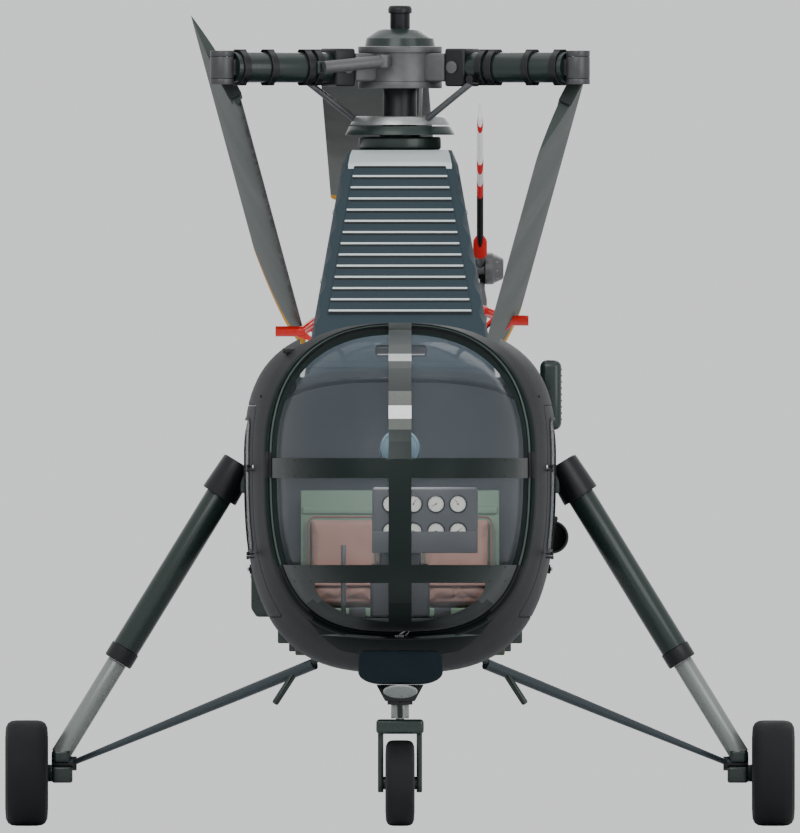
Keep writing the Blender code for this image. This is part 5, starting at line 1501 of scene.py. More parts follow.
    def bench(self) -> Object:
        """The low rear bench, its seat and back in grey cloth."""
        piece = dressed("rear_bench", "cushion_fabric")
        front, back = self.bulkhead_y - 0.3995, self.bulkhead_y - 0.0005
        piece.add(block((-0.458, front, 1.0005), (0.458, back, 1.18), 0.012, 3), SEAT_GREEN)
        for side in Side:
            seat = side_block(side, (0.004, 0.455), (front + 0.004, back - 0.10), (1.17, 1.298), 0.030, 4)
            rest = side_block(side, (0.004, 0.455), (back - 0.115, back - 0.002), (1.17, 1.598), 0.028, 4)
            piece.add(seat, LINING_GREY)
            piece.add(rest, LINING_GREY)
        return piece.done()

    def panel(self) -> Object:
        """The instrument panel with its dials, ledge, pedestal and the pod over it."""
        piece = dressed("instrument_panel", "panel_trim")
        y = self.panel_y
        face = y - 0.10
        piece.add(block((-0.134, face + 0.004, 1.312), (0.374, y + 0.049, 1.629), 0.016, 4), PANEL_GREY)
        piece.add(block((-0.124, y - 0.092, 1.312), (0.364, y, 1.352), 0.006), PANEL_GREY)
        for x in self.dial_x:
            for z in self.dial_rows:
                self.add_dial(piece, x, z, face)
        piece.add(block((-0.1335, face - 0.0085, 1.3125), (0.3735, face + 0.010, 1.4163), 0.003), PANEL_GREY)
        low = self.floor_z + 0.0005
        piece.add(block((-0.143, y - 0.059, low), (0.143, y + 0.059, 1.262), 0.020, 4), PANEL_GREY)
        piece.add(block((-0.100, y - 0.055, 1.20), (0.100, y + 0.055, 1.345), 0.016, 4), PANEL_GREY)
        piece.add(rod((0, y, 1.60), (0, y, 1.765), 0.018), MAST_BLACK)
        self.add_pod(piece)
        return piece.done()

    def add_dial(self, piece: Piece, x: float, z: float, face: float) -> None:
        """Add one round dial: its bezel, its pale scale with small marks, and its hand."""
        place = along((x, face + 0.006, z), (x, face - 1.0, z))
        radius = self.dial_radius
        bezel = ((-0.002, 0.0), (-0.002, 0.007), (0.001, 0.009), (0.005, 0.006), (0.006, 0.0))
        piece.add(spun([(radius + out, height) for out, height in bezel], 40, place, True), SEAM_AND_SHADOW_BLACK)
        piece.add(spun([(0.0, 0.0), (radius, 0.0), (radius, 0.0045), (0.0, 0.0045)], 40, place), DIAL_AND_GLINT_CREAM)
        for index in range(12):
            turn = Matrix.Rotation(math.radians(30 * index + 15), 4, "Z")
            tick = block((-0.0007, radius * 0.74, 0.004), (0.0007, radius * 0.90, 0.0052), 0.0)
            piece.add(tick, SEAM_AND_SHADOW_BLACK, place @ turn)
        lean = Matrix.Rotation(math.radians(35 + 90 * math.sin(x * 40 + z * 9)), 4, "Z")
        piece.add(block((-0.0012, -0.006, 0.0045), (0.0012, radius * 0.66, 0.006), 0.0), SEAM_AND_SHADOW_BLACK, place @ lean)
        piece.add(spun([(0.0, 0.003), (0.004, 0.003), (0.004, 0.0068), (0.0, 0.0068)], 16, place), SEAM_AND_SHADOW_BLACK)

    def add_pod(self, piece: Piece) -> None:
        """Add the round dark pod on its stalk over the panel."""
        profile = [
            (0.0, 0.049), (0.084, 0.049), (0.0975, 0.034), (0.0975, -0.030), (0.092, -0.040),
            (0.086, -0.040), (0.084, -0.034), (0.0, -0.030),
        ]
        y = self.panel_y
        place = Matrix.Translation((0, y, 1.8125)) @ UP_TO_BACK
        piece.add(spun(eased(profile, 0.004, 3, closed=False), 64, place), NIGHT_BLUE)

    def stick(self) -> Object:
        """The control stick, a plain rod in a rubber boot."""
        piece = dressed("cyclic_stick", "black_paint")
        foot = Vector((-0.272, RING_Y + 0.24, self.floor_z + 0.0005))
        piece.add(rod(foot, foot + Vector((0, 0, 0.350)), 0.0117, 28, 0.002), PANEL_GREY)
        boot = [(0.0, 0.0), (0.0118, 0.0), (0.0112, 0.012), (0.0115, 0.020), (0.0095, 0.034), (0.0, 0.036)]
        piece.add(spun(boot, 28, Matrix.Translation(foot)), TRIM_BLACK)
        return piece.done()


@dataclass
class Pylon:
    """The rotor pylon: its cowl, the louvred intake and the plate above it, painted light as a reflection."""

    top: float = 3.25
    shoulder: float = 2.18
    base: float = 2.02
    wall: float = 0.025
    front: float = MAST.y - 0.95
    lean: float = 0.60
    count: int = 14
    slats: Point2 = (2.4715, 3.1715)
    halves: Point2 = (0.346, 0.221)
    proud: float = 0.0105
    cap_z: float = 3.178
    wave: float = 0.012
    wave_pitch: float = 0.145

    @property
    def rise(self) -> float:
        """The height over which the front leans back."""
        return self.top - self.shoulder

    def flank(self, z: float) -> float:
        """The cowl's half width at one height, drawn in at its upper edge."""
        share = (z - self.shoulder) / self.rise
        return 0.457 - 0.190 * share - 0.018 * max(z - self.cap_z, 0.0) / (self.top - self.cap_z)

    def section(self, z: float, inset: float = 0.0) -> list[Vector]:
        """The cowl's outline at one height, with cut corners that run in waves in front."""
        share = (z - self.shoulder) / self.rise
        side = self.flank(z) - inset
        wave = self.wave * math.sin(2 * math.pi * (z - 2.50) / self.wave_pitch) if 2.40 < z < self.cap_z else 0.0
        face = min(0.445 - 0.197 * share + wave, side + inset - 0.006) - inset * 0.6
        front = self.front + self.lean * share + 1.2 * max(z - self.cap_z, 0.0) + inset
        rear = MAST.y + 1.72 - 1.27 * share - inset
        tail = 0.20 - 0.06 * share - inset * 0.5
        outline = [
            (-face, front), (face, front), (side, front + 0.13), (side, MAST.y + 0.25),
            (tail, rear), (-tail, rear), (-side, MAST.y + 0.25), (-side, front + 0.13),
        ]
        return [Vector((x, y, z)) for x, y in eased(outline, 0.012, 2)]

    def cowl_finish(self, middle: Vector) -> Finish:
        """Near white painted as a reflection on the leaning front above the louvres, blue-grey elsewhere."""
        share = (middle.z - self.shoulder) / self.rise
        front = self.front + self.lean * share + 1.2 * max(middle.z - self.cap_z, 0.0)
        ahead = middle.y < front + 0.03 and abs(middle.x) < 0.16
        # The top plate is painted light as a reflection.
        return SLAT_PAINTED_HIGHLIGHT if ahead and middle.z > self.cap_z - 0.010 else PYLON_BLUE

    def on_face(self, z: float, out: float = 0.0) -> Matrix:
        """A place on the leaning front: X across, Y up the slope, Z out of it."""
        up = Vector((0, self.lean, self.rise)).normalized()
        foot = Vector((0, self.front + self.lean * (z - self.shoulder) / self.rise, z))
        normal = Vector((1, 0, 0)).cross(up)
        turn = Matrix((Vector((1, 0, 0)), up, normal)).transposed().to_4x4()
        return Matrix.Translation(foot + normal * out) @ turn

    def half_at(self, z: float) -> float:
        """Half the intake's width at a height."""
        share = (z - self.slats[0]) / (self.slats[1] - self.slats[0])
        return self.halves[0] + (self.halves[1] - self.halves[0]) * share

    def build(self) -> list[Object]:
        """Build the pylon.

        Returns:
            The pieces.
        """
        heights = [self.base, 2.10] + [self.shoulder + (self.cap_z - self.shoulder) * step / 56 for step in range(57)]
        heights += [3.20, 3.225, self.top]
        outer = lofted([self.section(z) for z in heights])
        inner_heights = [self.base - 0.2] + heights[1:-1] + [self.top - self.wall]
        cowl = carved(outer, lofted([self.section(z, self.wall) for z in inner_heights]))
        cowl = seated(cowl, CABIN_SKIN, BAY_SKIN)
        cowl = carved(cowl, rod((0, MAST.y, 3.0), (0, MAST.y, 3.5), MAST_HOLE, 48, 0.0))
        piece = dressed("pylon_cowl", "pylon_paint")
        piece.add(cowl, self.cowl_finish)
        flange = ((2.2045, 0.004), (2.205, -0.008), (2.232, -0.008), (2.236, 0.004))
        piece.add(lofted([self.section(z, inset) for z, inset in flange], round_trip=True), PYLON_BLUE)
        for side in Side:
            self.add_side(piece, side)
        return [piece.done(), self.intake()]

    def add_side(self, piece: Piece, side: Side) -> None:
        """Add the catches of one side's doors."""
        rows = []
        for z in (2.30, 2.62, 2.95):
            share = (z - self.shoulder) / self.rise
            for y in (self.front + self.lean * share + 0.19, MAST.y + 0.22):
                foot = Vector((side.value * (self.flank(z) - 0.001), y, z))
                rows.append(heading(foot, (side.value, 0, 0.15)))
        piece.add(stud_row(rows, 0.012, 0.006, 16), STEEL)

    def intake(self) -> Object:
        """The louvres: each blade painted light as a highlight, over a black strip of painted shadow in its gap."""
        piece = dressed("intake_grille", "pylon_paint")
        low, high = self.slats[0] - 0.0116, self.slats[1] - 0.002
        slope = math.hypot(self.lean, self.rise) / self.rise
        outline = [
            (-self.half_at(low), 0.0), (self.half_at(low), 0.0),
            (self.half_at(high), (high - low) * slope), (-self.half_at(high), (high - low) * slope),
        ]
        piece.add(plate(outline, 0.006, self.on_face(low, 0.0034), 0.002), PYLON_BLUE)
        pitch = (self.slats[1] - self.slats[0]) / (self.count - 1)
        for index in range(self.count):
            z = self.slats[0] + pitch * index
            half = self.half_at(z) - 0.003
            place = self.on_face(z)
            # A black strip painted as the shadow in the gap under each blade.
            gap = block((-half, -0.0115, 0.003), (half, -0.0020, 0.0084), 0.001)
            piece.add(gap, SEAM_AND_SHADOW_BLACK, place)
            if index == self.count - 1:
                continue
            # Each blade is painted near white as a highlight on its lit edge.
            blade = block((-half, -0.0018, 0.003), (half, 0.0085, self.proud), 0.002)
            piece.add(blade, SLAT_PAINTED_HIGHLIGHT, place)
        return piece.done()


@dataclass
class Tail:
    """The boom, and the fin with the gearbox, tailplane and skid."""

    fin_half: float = 0.03
    gearbox_x: float = -0.125
    plane_y: float = MAST.y + 7.32
    plane_z: float = 1.997
    plane_chord: float = 0.42
    plane_thickness: float = 0.045
    plane_half: float = 0.62
    skid_radius: float = 0.022

    def build(self) -> list[Object]:
        """Build the tail.

        Returns:
            The pieces.
        """
        return [self.boom(), self.fin()]

    def boom(self) -> Object:
        """The boom with its joint straps, rivet rows and lids, and a small fairing under it."""
        piece = dressed("tail_boom", "tail_paint")
        piece.add(BOOM_SKIN.volume(), SHELL_GREY)
        for y in (MAST.y + 1.735, MAST.y + 3.4, MAST.y + 5.0, MAST.y + 6.6, MAST.y + 8.0):
            piece.add(BOOM_SKIN.band(y, 0.040, 0.0018), SHELL_GREY)
            for shift in (-0.014, 0.014):
                places = skin_places(BOOM_SKIN, y + shift, 40, inset=-0.0016)
                piece.add(stud_row(places, 0.0032, 0.0018, 6), SHELL_GREY)
        for side in Side:
            lid = skin_frame(BOOM_SKIN, side, (MAST.y + 2.1, MAST.y + 2.5), (1.62, 1.82), 0.004, 0.001, 0.03)
            piece.add(lid, SEAM_AND_SHADOW_BLACK)
        fairing = block((-0.05, MAST.y + 4.05, 1.52), (0.05, MAST.y + 4.40, 1.62), 0.03, 5)
        piece.add(fairing, TRIM_BLACK)
        return piece.done()

    def plane(self) -> Shape:
        """The tailplane as a wing section with rounded tips."""
        rings = []
        tips = ((1.0, 0.35), (0.996, 0.62), (0.985, 0.82), (0.96, 0.94), (0.92, 1.0))
        spans = [(-share, scale) for share, scale in tips] + [(share, scale) for share, scale in reversed(tips)]
        for share, scale in spans:
            outline = wing_section(self.plane_chord, self.plane_thickness * scale)
            pull = self.plane_chord * (1 - scale) * 0.06
            rings.append([
                Vector((share * self.plane_half, self.plane_y - x * (1 - (1 - scale) * 0.12) + pull, self.plane_z + z))
                for x, z in outline
            ])
        return lofted(rings)

    def fin(self) -> Object:
        """The fin with everything fixed to it."""
        outline = [
            (6.98, 1.94), (7.70, 2.07), (8.72, 2.70), (8.90, 2.78), (9.22, 2.78),
            (9.26, 2.60), (8.62, 1.72), (8.32, 1.62), (8.10, 1.70),
        ]
        points = eased([(MAST.y + y, z) for y, z in outline], 0.06, 5)
        fin = plate(points, 2 * self.fin_half, facing_side(0.0), 0.0)
        fin = seated(soften(fin, 0.022, 5, 50.0), BOOM_SKIN)
        piece = dressed("tail_fin", "tail_paint")
        piece.add(fin, SHELL_GREY)
        profile = [
            (0.0, 0.4195), (0.05, 0.4195), (0.05, 0.28), (0.085, 0.24),
            (0.12, 0.18), (0.12, 0.04), (0.095, 0.0), (0.0, 0.0),
        ]
        place = Matrix.Translation((self.gearbox_x, TAIL_AXIS.y, TAIL_AXIS.z)) @ UP_TO_SIDE
        case = spun(eased(profile, 0.010, 3, closed=False), 48, place)
        bore = rod((0.22, TAIL_AXIS.y, TAIL_AXIS.z), (0.5, TAIL_AXIS.y, TAIL_AXIS.z), 0.031, 32, 0.0)
        piece.add(carved(case, bore), HUB_GREY)
        for index in range(10):
            angle = 2 * math.pi * index / 10
            foot = place @ Vector((0.103 * math.cos(angle), 0.103 * math.sin(angle), 0.208))
            piece.add(stud(0.007, 0.008, heading(foot, (1, 0, 0)), 6), STEEL)
        piece.add(seated(self.plane(), BOOM_SKIN), SHELL_GREY)
        for side, finish in ((Side.PORT, NAV_RED), (Side.STARBOARD, NAV_GREEN)):
            x = side.value * (self.plane_half - 0.03)
            foot, aim = ((x, self.plane_y - ahead, self.plane_z + up) for ahead, up in ((0.060, 0.018), (0.10, 1.0)))
            piece.add(stud(0.014, 0.012, along(foot, aim), 20), finish)
        bends = [(8.35, 1.68), (8.60, 1.40), (8.75, 1.28), (8.95, 1.18), (9.20, 1.10), (9.40, 1.095), (9.55, 1.12)]
        skid = piped([Vector((0, MAST.y + y, z)) for y, z in bends], self.skid_radius - 0.001)
        piece.add(seated(skid, BOOM_SKIN), MAST_BLACK)
        places = []
        for step in range(16):
            share = step / 15
            y, z = MAST.y + 7.95 + 0.95 * share, 2.14 + 0.58 * share
            for side in Side:
                foot = Vector((side.value * (self.fin_half - 0.0005), y, z))
                places.append(heading(foot, (side.value, 0, 0)))
        piece.add(stud_row(places, 0.0035, 0.002, 6), SHELL_GREY)
        beacon = [(0.0, 0.0), (0.030, 0.0), (0.030, 0.010), (0.024, 0.012), (0.023, 0.016), (0.0, 0.018)]
        piece.add(spun(beacon, 28, Matrix.Translation((0, MAST.y + 9.03, 2.7795))), NAV_RED)
        return piece.done()


def wing_section(chord: float, thickness: float, count: int = 17) -> list[Point2]:
    """A symmetric wing section: (along the chord from the quarter point, height)."""
    upper = []
    for index in range(count):
        share = (1 - math.cos(math.pi * index / (count - 1))) / 2
        shape = 2.969 * math.sqrt(share) - 1.26 * share - 3.516 * share**2
        shape += 2.843 * share**3 - 1.036 * share**4
        upper.append(((0.25 - share) * chord, shape * thickness / 2))
    return upper + [(x, -z) for x, z in reversed(upper[1:-1])]


@dataclass
class Steps:
    """The two-stage step low on each side of the cabin."""

    along_y: Point2 = (MAST.y - 1.62, MAST.y - 1.30)

    def build(self) -> list[Object]:
        """Build both steps.

        Returns:
            The pieces.
        """
        made = []
        y0, y1 = self.along_y
        for side in Side:
            piece = dressed(f"step_{side.label}", "frame_paint")
            outer = side_block(side, (0.42, 0.588), (y0, y1), (0.878, 0.9655), 0.008, 3)
            piece.add(carved(outer, CABIN_SKIN.volume(-0.0004)), LEG_GREEN)
            lower = side_block(side, (0.30, 0.504), (y0 - 0.059, y1), (0.821, 0.929), 0.008, 3)
            piece.add(carved(lower, CABIN_SKIN.volume(-0.0004)), STEP_OLIVE)
            bridge = side_block(side, (0.46, 0.534), (y0 + 0.02, y1 - 0.02), (0.839, 0.886), 0.006, 3)
            piece.add(bridge, LEG_GREEN)
            for index in range(7):
                y = y0 + 0.030 + 0.042 * index
                ridge = side_block(side, (0.545, 0.585), (y, y + 0.016), (0.960, 0.9668), 0.002)
                piece.add(ridge, TRIM_BLACK)
            made.append(piece.done())
        return made


@dataclass(frozen=True)
class WheelSize:
    """The sizes of one wheel and its tyre."""

    radius: float
    width: float
    rim: float
    axle: float
    bolts: int


MAIN_WHEEL = WheelSize(0.2545, 0.205, 0.135, 0.025, 8)
NOSE_WHEEL = WheelSize(0.2065, 0.139, 0.105, 0.016, 6)


def wheel_pieces(name: str, body: str, centre: Vector, size: WheelSize) -> list[Object]:
    """A tyre and its wheel, both turned about the axle's line.

    Args:
        name: which wheel it is, as the nodes spell it.
        body: the moving body of both.
        centre: the wheel's centre.
        size: its sizes.

    Returns:
        The two pieces.
    """
    half, radius = size.width / 2, size.radius
    place = Matrix.Translation(centre) @ UP_TO_SIDE
    seat, rim_half = size.rim + 0.0004, half * 0.72
    shoulder = radius * 0.16
    side = [
        (seat, rim_half), (seat + 0.010, half * 0.86), (seat + 0.030, half * 0.955), (seat + 0.045, half * 0.985),
        (radius - shoulder * 1.5, half), (radius - shoulder * 0.85, half * 0.975),
        (radius - shoulder * 0.35, half * 0.875), (radius - shoulder * 0.10, half * 0.72),
        (radius - 0.0004, half * 0.50),
    ]
    profile = side + [(radius, 0.0)] + [(r, -z) for r, z in reversed(side)]
    tyre = dressed(f"tyre_{name}", "tyre_rubber", body)
    tyre.add(spun(profile, 96, place, True), TYRE_BLACK)
    for sign in (1, -1):
        for reach, height in ((seat + 0.038, 0.966), (radius - shoulder * 1.9, 0.998)):
            z = sign * half * height
            bead = [(reach - 0.0025, z - sign * 0.003), (reach + 0.0025, z - sign * 0.003), (reach, z + sign * 0.0012)]
            tyre.add(spun(bead, 96, place, True), TYRE_BLACK)
    made = [tyre.done(sharp=28.0)]

    bore = size.axle + 0.0006
    hub, hub_half = max(0.055, size.axle * 2.4), half * 0.62
    rim = size.rim
    outer = [
        (bore, hub_half), (hub - 0.008, hub_half), (hub, hub_half - 0.010), (hub + 0.008, half * 0.40),
        (rim * 0.74, half * 0.30), (rim * 0.80, half * 0.31), (rim * 0.85, half * 0.52), (rim * 0.88, rim_half - 0.004),
        (rim * 0.90, rim_half), (rim - 0.002, rim_half), (rim, rim_half - 0.003),
    ]
    profile = outer + [(r, -z) for r, z in reversed(outer)]
    wheel = dressed(f"wheel_{name}", "wheel_black", body)
    wheel.add(spun(profile, 72, place, True), MAST_BLACK)
    for sign in (1, -1):
        for index in range(size.bolts):
            angle, reach = 2 * math.pi * index / size.bolts, rim * 0.64
            x, y = reach * math.cos(angle), reach * math.sin(angle)
            foot, tip = place @ Vector((x, y, sign * half * 0.30)), place @ Vector((x, y, sign * half))
            wheel.add(stud(0.0075, 0.012, along(foot, tip), 6), STEEL)
    made.append(wheel.done())
    return made


@dataclass
class MainGear:
    """Each main leg, the strut frame with its knuckle and axle, and the wheel."""

    y: float = JOINTS["port_wheel_spin"].y
    leg_top: Point2 = (0.771, 1.747)
    leg_foot: Point2 = (1.62, 0.363)
    axle_z: float = MAIN_WHEEL.radius
    piston: float = 0.0475
    length: float = 1.122

    def build(self) -> list[Object]:
        """Build both sides.

        Returns:
            The pieces.
        """
        made = []
        for side in Side:
            made += [self.leg(side), self.frame(side)]
            centre = JOINTS[f"{side.label}_wheel_spin"]
            made += wheel_pieces(side.label, f"{side.label}_wheel", centre, MAIN_WHEEL)
        return made

    def ends(self, side: Side) -> tuple[Vector, Vector]:
        """The leg's top and foot."""
        top = Vector((side.value * self.leg_top[0], self.y, self.leg_top[1]))
        foot = Vector((side.value * self.leg_foot[0], self.y, self.leg_foot[1]))
        return top, foot

    def leg(self, side: Side) -> Object:
        """The leg's outer tube between two black collars, and its mount on the bay."""
        top, foot = self.ends(side)
        place = along(top, foot)
        piece = Piece(f"leg_{side.label}_dressed", "frame_paint", replaced=f"leg_cylinder_{side.label}")
        end = self.length
        profile = [(0.0, end), (0.0655, end), (0.0655, 0.0), (0.0, 0.0)]
        piece.add(spun(eased(profile, 0.003, 2, closed=False), 56, place), LEG_GREEN)
        collars = (
            [(0.0655, end - 0.077), (0.0715, end - 0.073), (0.0715, end - 0.006), (0.068, end + 0.0004),
             (0.060, end + 0.0004), (0.060, end - 0.077)],
            [(0.062, 0.003), (0.0755, 0.0), (0.083, 0.006), (0.0915, 0.180), (0.0895, 0.1875), (0.062, 0.188)],
        )
        for ring in collars:
            piece.add(spun(ring, 56, place, True), MAST_BLACK)
        lug = side_block(side, (0.50, 0.770), (self.y - 0.069, self.y + 0.069), (1.600, 1.722), 0.012, 3)
        piece.add(seated(lug, BAY_SKIN), LEG_GREEN)
        line = []
        for share, out in ((0.92, 0.070), (0.85, 0.082), (0.50, 0.080), (0.22, 0.082), (0.13, 0.098)):
            line.append(top.lerp(foot, share * end / (foot - top).length) + Vector((0, out, 0)))
        piece.add(piped(line, 0.007, smooth=True), TRIM_BLACK)
        return piece.done()

    def frame(self, side: Side) -> Object:
        """The piston, knuckle, axle and the two struts that meet there."""
        top, foot = self.ends(side)
        piece = dressed(f"gear_frame_{side.label}", "hub_steel")
        start = top.lerp(foot, (self.length + 0.0008) / (foot - top).length)
        piece.add(rod(start, top.lerp(foot, 1.016), self.piston, 48), PISTON_GREY)
        y = self.y
        piece.add(side_block(side, (1.582, 1.675), (y - 0.0495, y + 0.0495), (0.300, 0.3695), 0.022, 5), LEG_GREEN)
        piece.add(rod((side.value * 1.554, y, 0.301), (side.value * 1.6755, y, 0.301), 0.0345, 40), MAST_BLACK)
        piece.add(side_block(side, (1.574, 1.673), (y - 0.0595, y + 0.0595), (0.2073, 0.285), 0.011, 3), LEG_GREEN)
        axle_start = (side.value * 1.62, y, self.axle_z)
        piece.add(rod(axle_start, (side.value * 1.6975, y, self.axle_z), 0.0415, 48), LEG_GREEN)
        piece.add(rod(axle_start, (side.value * 1.845, y, self.axle_z), MAIN_WHEEL.axle, 40), STEEL)
        nut = stud(0.030, 0.0075, along((side.value * 1.8372, y, self.axle_z), (side.value * 3, y, self.axle_z)), 6)
        piece.add(nut, STEEL)
        strut_foot = Vector((side.value * 1.60, y, 0.293))
        for reach_y in (-0.78, 0.20):
            inner = Vector((side.value * 0.412, y + reach_y, 0.780))
            self.add_strut(piece, side, inner, strut_foot)
        share = (0.505 - 0.416) / (1.60 - 0.416)
        peg_top = Vector((side.value * 0.505, y - 0.78 * (1 - share), 0.738))
        peg_foot = Vector((side.value * 0.603, peg_top.y - 0.02, 0.587))
        piece.add(rod(peg_top, peg_foot, 0.0165, 32, 0.012), LEG_GREEN)
        return piece.done()

    def add_strut(self, piece: Piece, side: Side, inner: Vector, foot: Vector) -> None:
        """Add one tapering strut and its lug."""
        widths = [0.0285, 0.0275, 0.0260, 0.0232, 0.0198, 0.0165, 0.0132]
        row = [inner.lerp(foot, index / 6) for index in range(7)]
        piece.add(piped(row, 0.0285, widths), STRUT_BLUE)
        lug = side_block(side, (0.394, 0.426), (inner.y - 0.0295, inner.y + 0.0295), (0.780, 0.93), 0.008, 3)
        piece.add(seated(lug, CABIN_SKIN if inner.y < CABIN_END_Y else BAY_SKIN), LEG_GREEN)


@dataclass
class NoseGear:
    """The fairing under the nose, the leg with its lamp, the castoring fork and its wheel."""

    y: float = JOINTS["nose_castor"].y
    axle_y: float = JOINTS["nose_wheel_spin"].y

    def build(self) -> list[Object]:
        """Build the nose gear.

        Returns:
            The pieces.
        """
        made = [self.fairing(), self.leg(), self.lamp(), self.fork()]
        made += wheel_pieces("nose", "nose_wheel", JOINTS["nose_wheel_spin"], NOSE_WHEEL)
        return made

    def fairing(self) -> Object:
        """The box under the nose, well rounded along its lower edges."""
        y = self.y
        outline = []
        for index in range(9):
            angle = math.pi / 2 * index / 8
            outline.append((0.089 + 0.115 * math.sin(angle), 0.7403 - 0.060 * math.cos(angle)))
        outline += [(0.204, 0.810), (0.190, 0.845)]
        outline = [(0.0025 + x, z) for x, z in outline] + [(0.0025 - x, z) for x, z in reversed(outline)]
        body = plate(outline, 0.479, facing_front(y), 0.020)
        body = carved(body, Nose().dome(-CLEARANCE, 0.05))
        body = carved(body, CABIN_SKIN.volume(-CLEARANCE, 0.1))
        piece = dressed("nose_fairing", "frame_paint")
        piece.add(body, NIGHT_BLUE)
        return piece.done()

    def leg(self) -> Object:
        """The dark tapered bracket, its block and the turning sleeve."""
        y = self.y
        piece = dressed("nose_leg", "frame_paint")
        outline = [(-0.1145, 0.6794), (-0.0715, 0.600), (0.0715, 0.600), (0.1145, 0.6794)]
        bracket = plate(eased(outline, 0.006, 3), 0.2095, facing_front(y + 0.015), 0.006)
        foot = block((-0.0605, y - 0.0595, 0.583), (0.0605, y + 0.0595, 0.612), 0.004, 3)
        for shape in (bracket, foot):
            bore = rod((0, y, 0.45), (0, y, 0.605), 0.0206, 32, 0.0)
            piece.add(carved(shape, bore), MAST_BLACK)
        sleeve = [(0.0207, 0.5175), (0.0435, 0.5175), (0.0435, 0.595), (0.0207, 0.595)]
        piece.add(spun(eased(sleeve, 0.002, 2), 48, Matrix.Translation((0, y, 0)), True), PISTON_GREY)
        piece.add(block((-0.0130, y - 0.0610, 0.5195), (0.0135, y - 0.0400, 0.620), 0.008, 3), MAST_BLACK)
        return piece.done()

    def lamp(self) -> Object:
        """The landing lamp under the fairing, its glass tilted down and forward."""
        y = self.y
        piece = dressed("landing_lamp", "lamp_glass")
        place = Matrix.Translation((0.002, y - 0.175, 0.655)) @ Matrix.Rotation(math.radians(-21), 4, "X")
        bowl = [
            (0.0, 0.059), (0.03, 0.054), (0.059, 0.035), (0.079, 0.0), (0.079, -0.012), (0.070, -0.0135),
            (0.070, -0.004), (0.045, 0.016), (0.0, 0.030),
        ]
        shape = spun(eased(bowl, 0.002, 2, closed=False), 56, place)
        piece.add(carved(shape, block((-0.3, y - 0.4, 0.6794), (0.3, y + 0.4, 0.9), 0.0)), MAST_BLACK)
        lens = [(0.0, -0.0175), (0.05, -0.0165), (0.078, -0.0135), (0.0820, -0.010), (0.0820, -0.006), (0.0, -0.008)]
        piece.add(spun(lens, 56, place), LAMP_GLASS)
        arm = block((-0.0195, y - 0.1795, 0.6455), (0.0195, y - 0.1005, 0.6794), 0.005)
        piece.add(arm, MAST_BLACK)
        return piece.done()

    def fork(self) -> Object:
        """The castoring fork: a rounded crown, two flat prongs, and the axle with its caps."""
        y, axle_y, z = self.y, self.axle_y, NOSE_WHEEL.radius
        piece = dressed("nose_fork", "frame_paint", "nose_fork")
        crown = block((-0.1150, y - 0.0495, 0.4425), (0.1150, y + 0.0995, 0.5135), 0.018, 5)
        piece.add(crown, LEG_GREEN)
        piece.add(rod((0, y, 0.48), (0, y, 0.5995), 0.0198, 36), STEEL)
        axle_ends = [(x, axle_y, z) for x in (-0.1060, 0.1060)]
        piece.add(rod(*axle_ends, NOSE_WHEEL.axle, 32), STEEL)
        for side in Side:
            x0, x1 = sorted(side.value * x for x in (0.0795, 0.1065))
            outline = (
                (-0.038, 0.47), (-0.030, 0.235), (-0.0345, 0.19), (-0.016, 0.1615),
                (0.016, 0.1615), (0.0345, 0.19), (0.030, 0.235), (0.034, 0.47),
            )
            outline = [(axle_y + aft, up) for aft, up in outline]
            prong = plate(eased(outline, 0.012, 3), x1 - x0, facing_side((x0 + x1) / 2), 0.005)
            piece.add(prong, LEG_GREEN)
            spacer = [(side.value * x, axle_y, z) for x in (0.0475, 0.0800)]
            piece.add(rod(*spacer, 0.031, 32, 0.003), MAST_BLACK)
        return piece.done()


class Blade(Enum):
    """The three main blades; the value is the azimuth of each one's arm in degrees."""

    STARBOARD = 210.0
    PORT = 330.0
    AFT = 90.0

    @property
    def label(self) -> str:
        """The blade's name as the nodes spell it."""
        return self.name.lower()

    @property
    def body(self) -> str:
        """The moving body that the blade belongs to."""
        return "main_rotor" if self is Blade.AFT else f"{self.label}_blade"


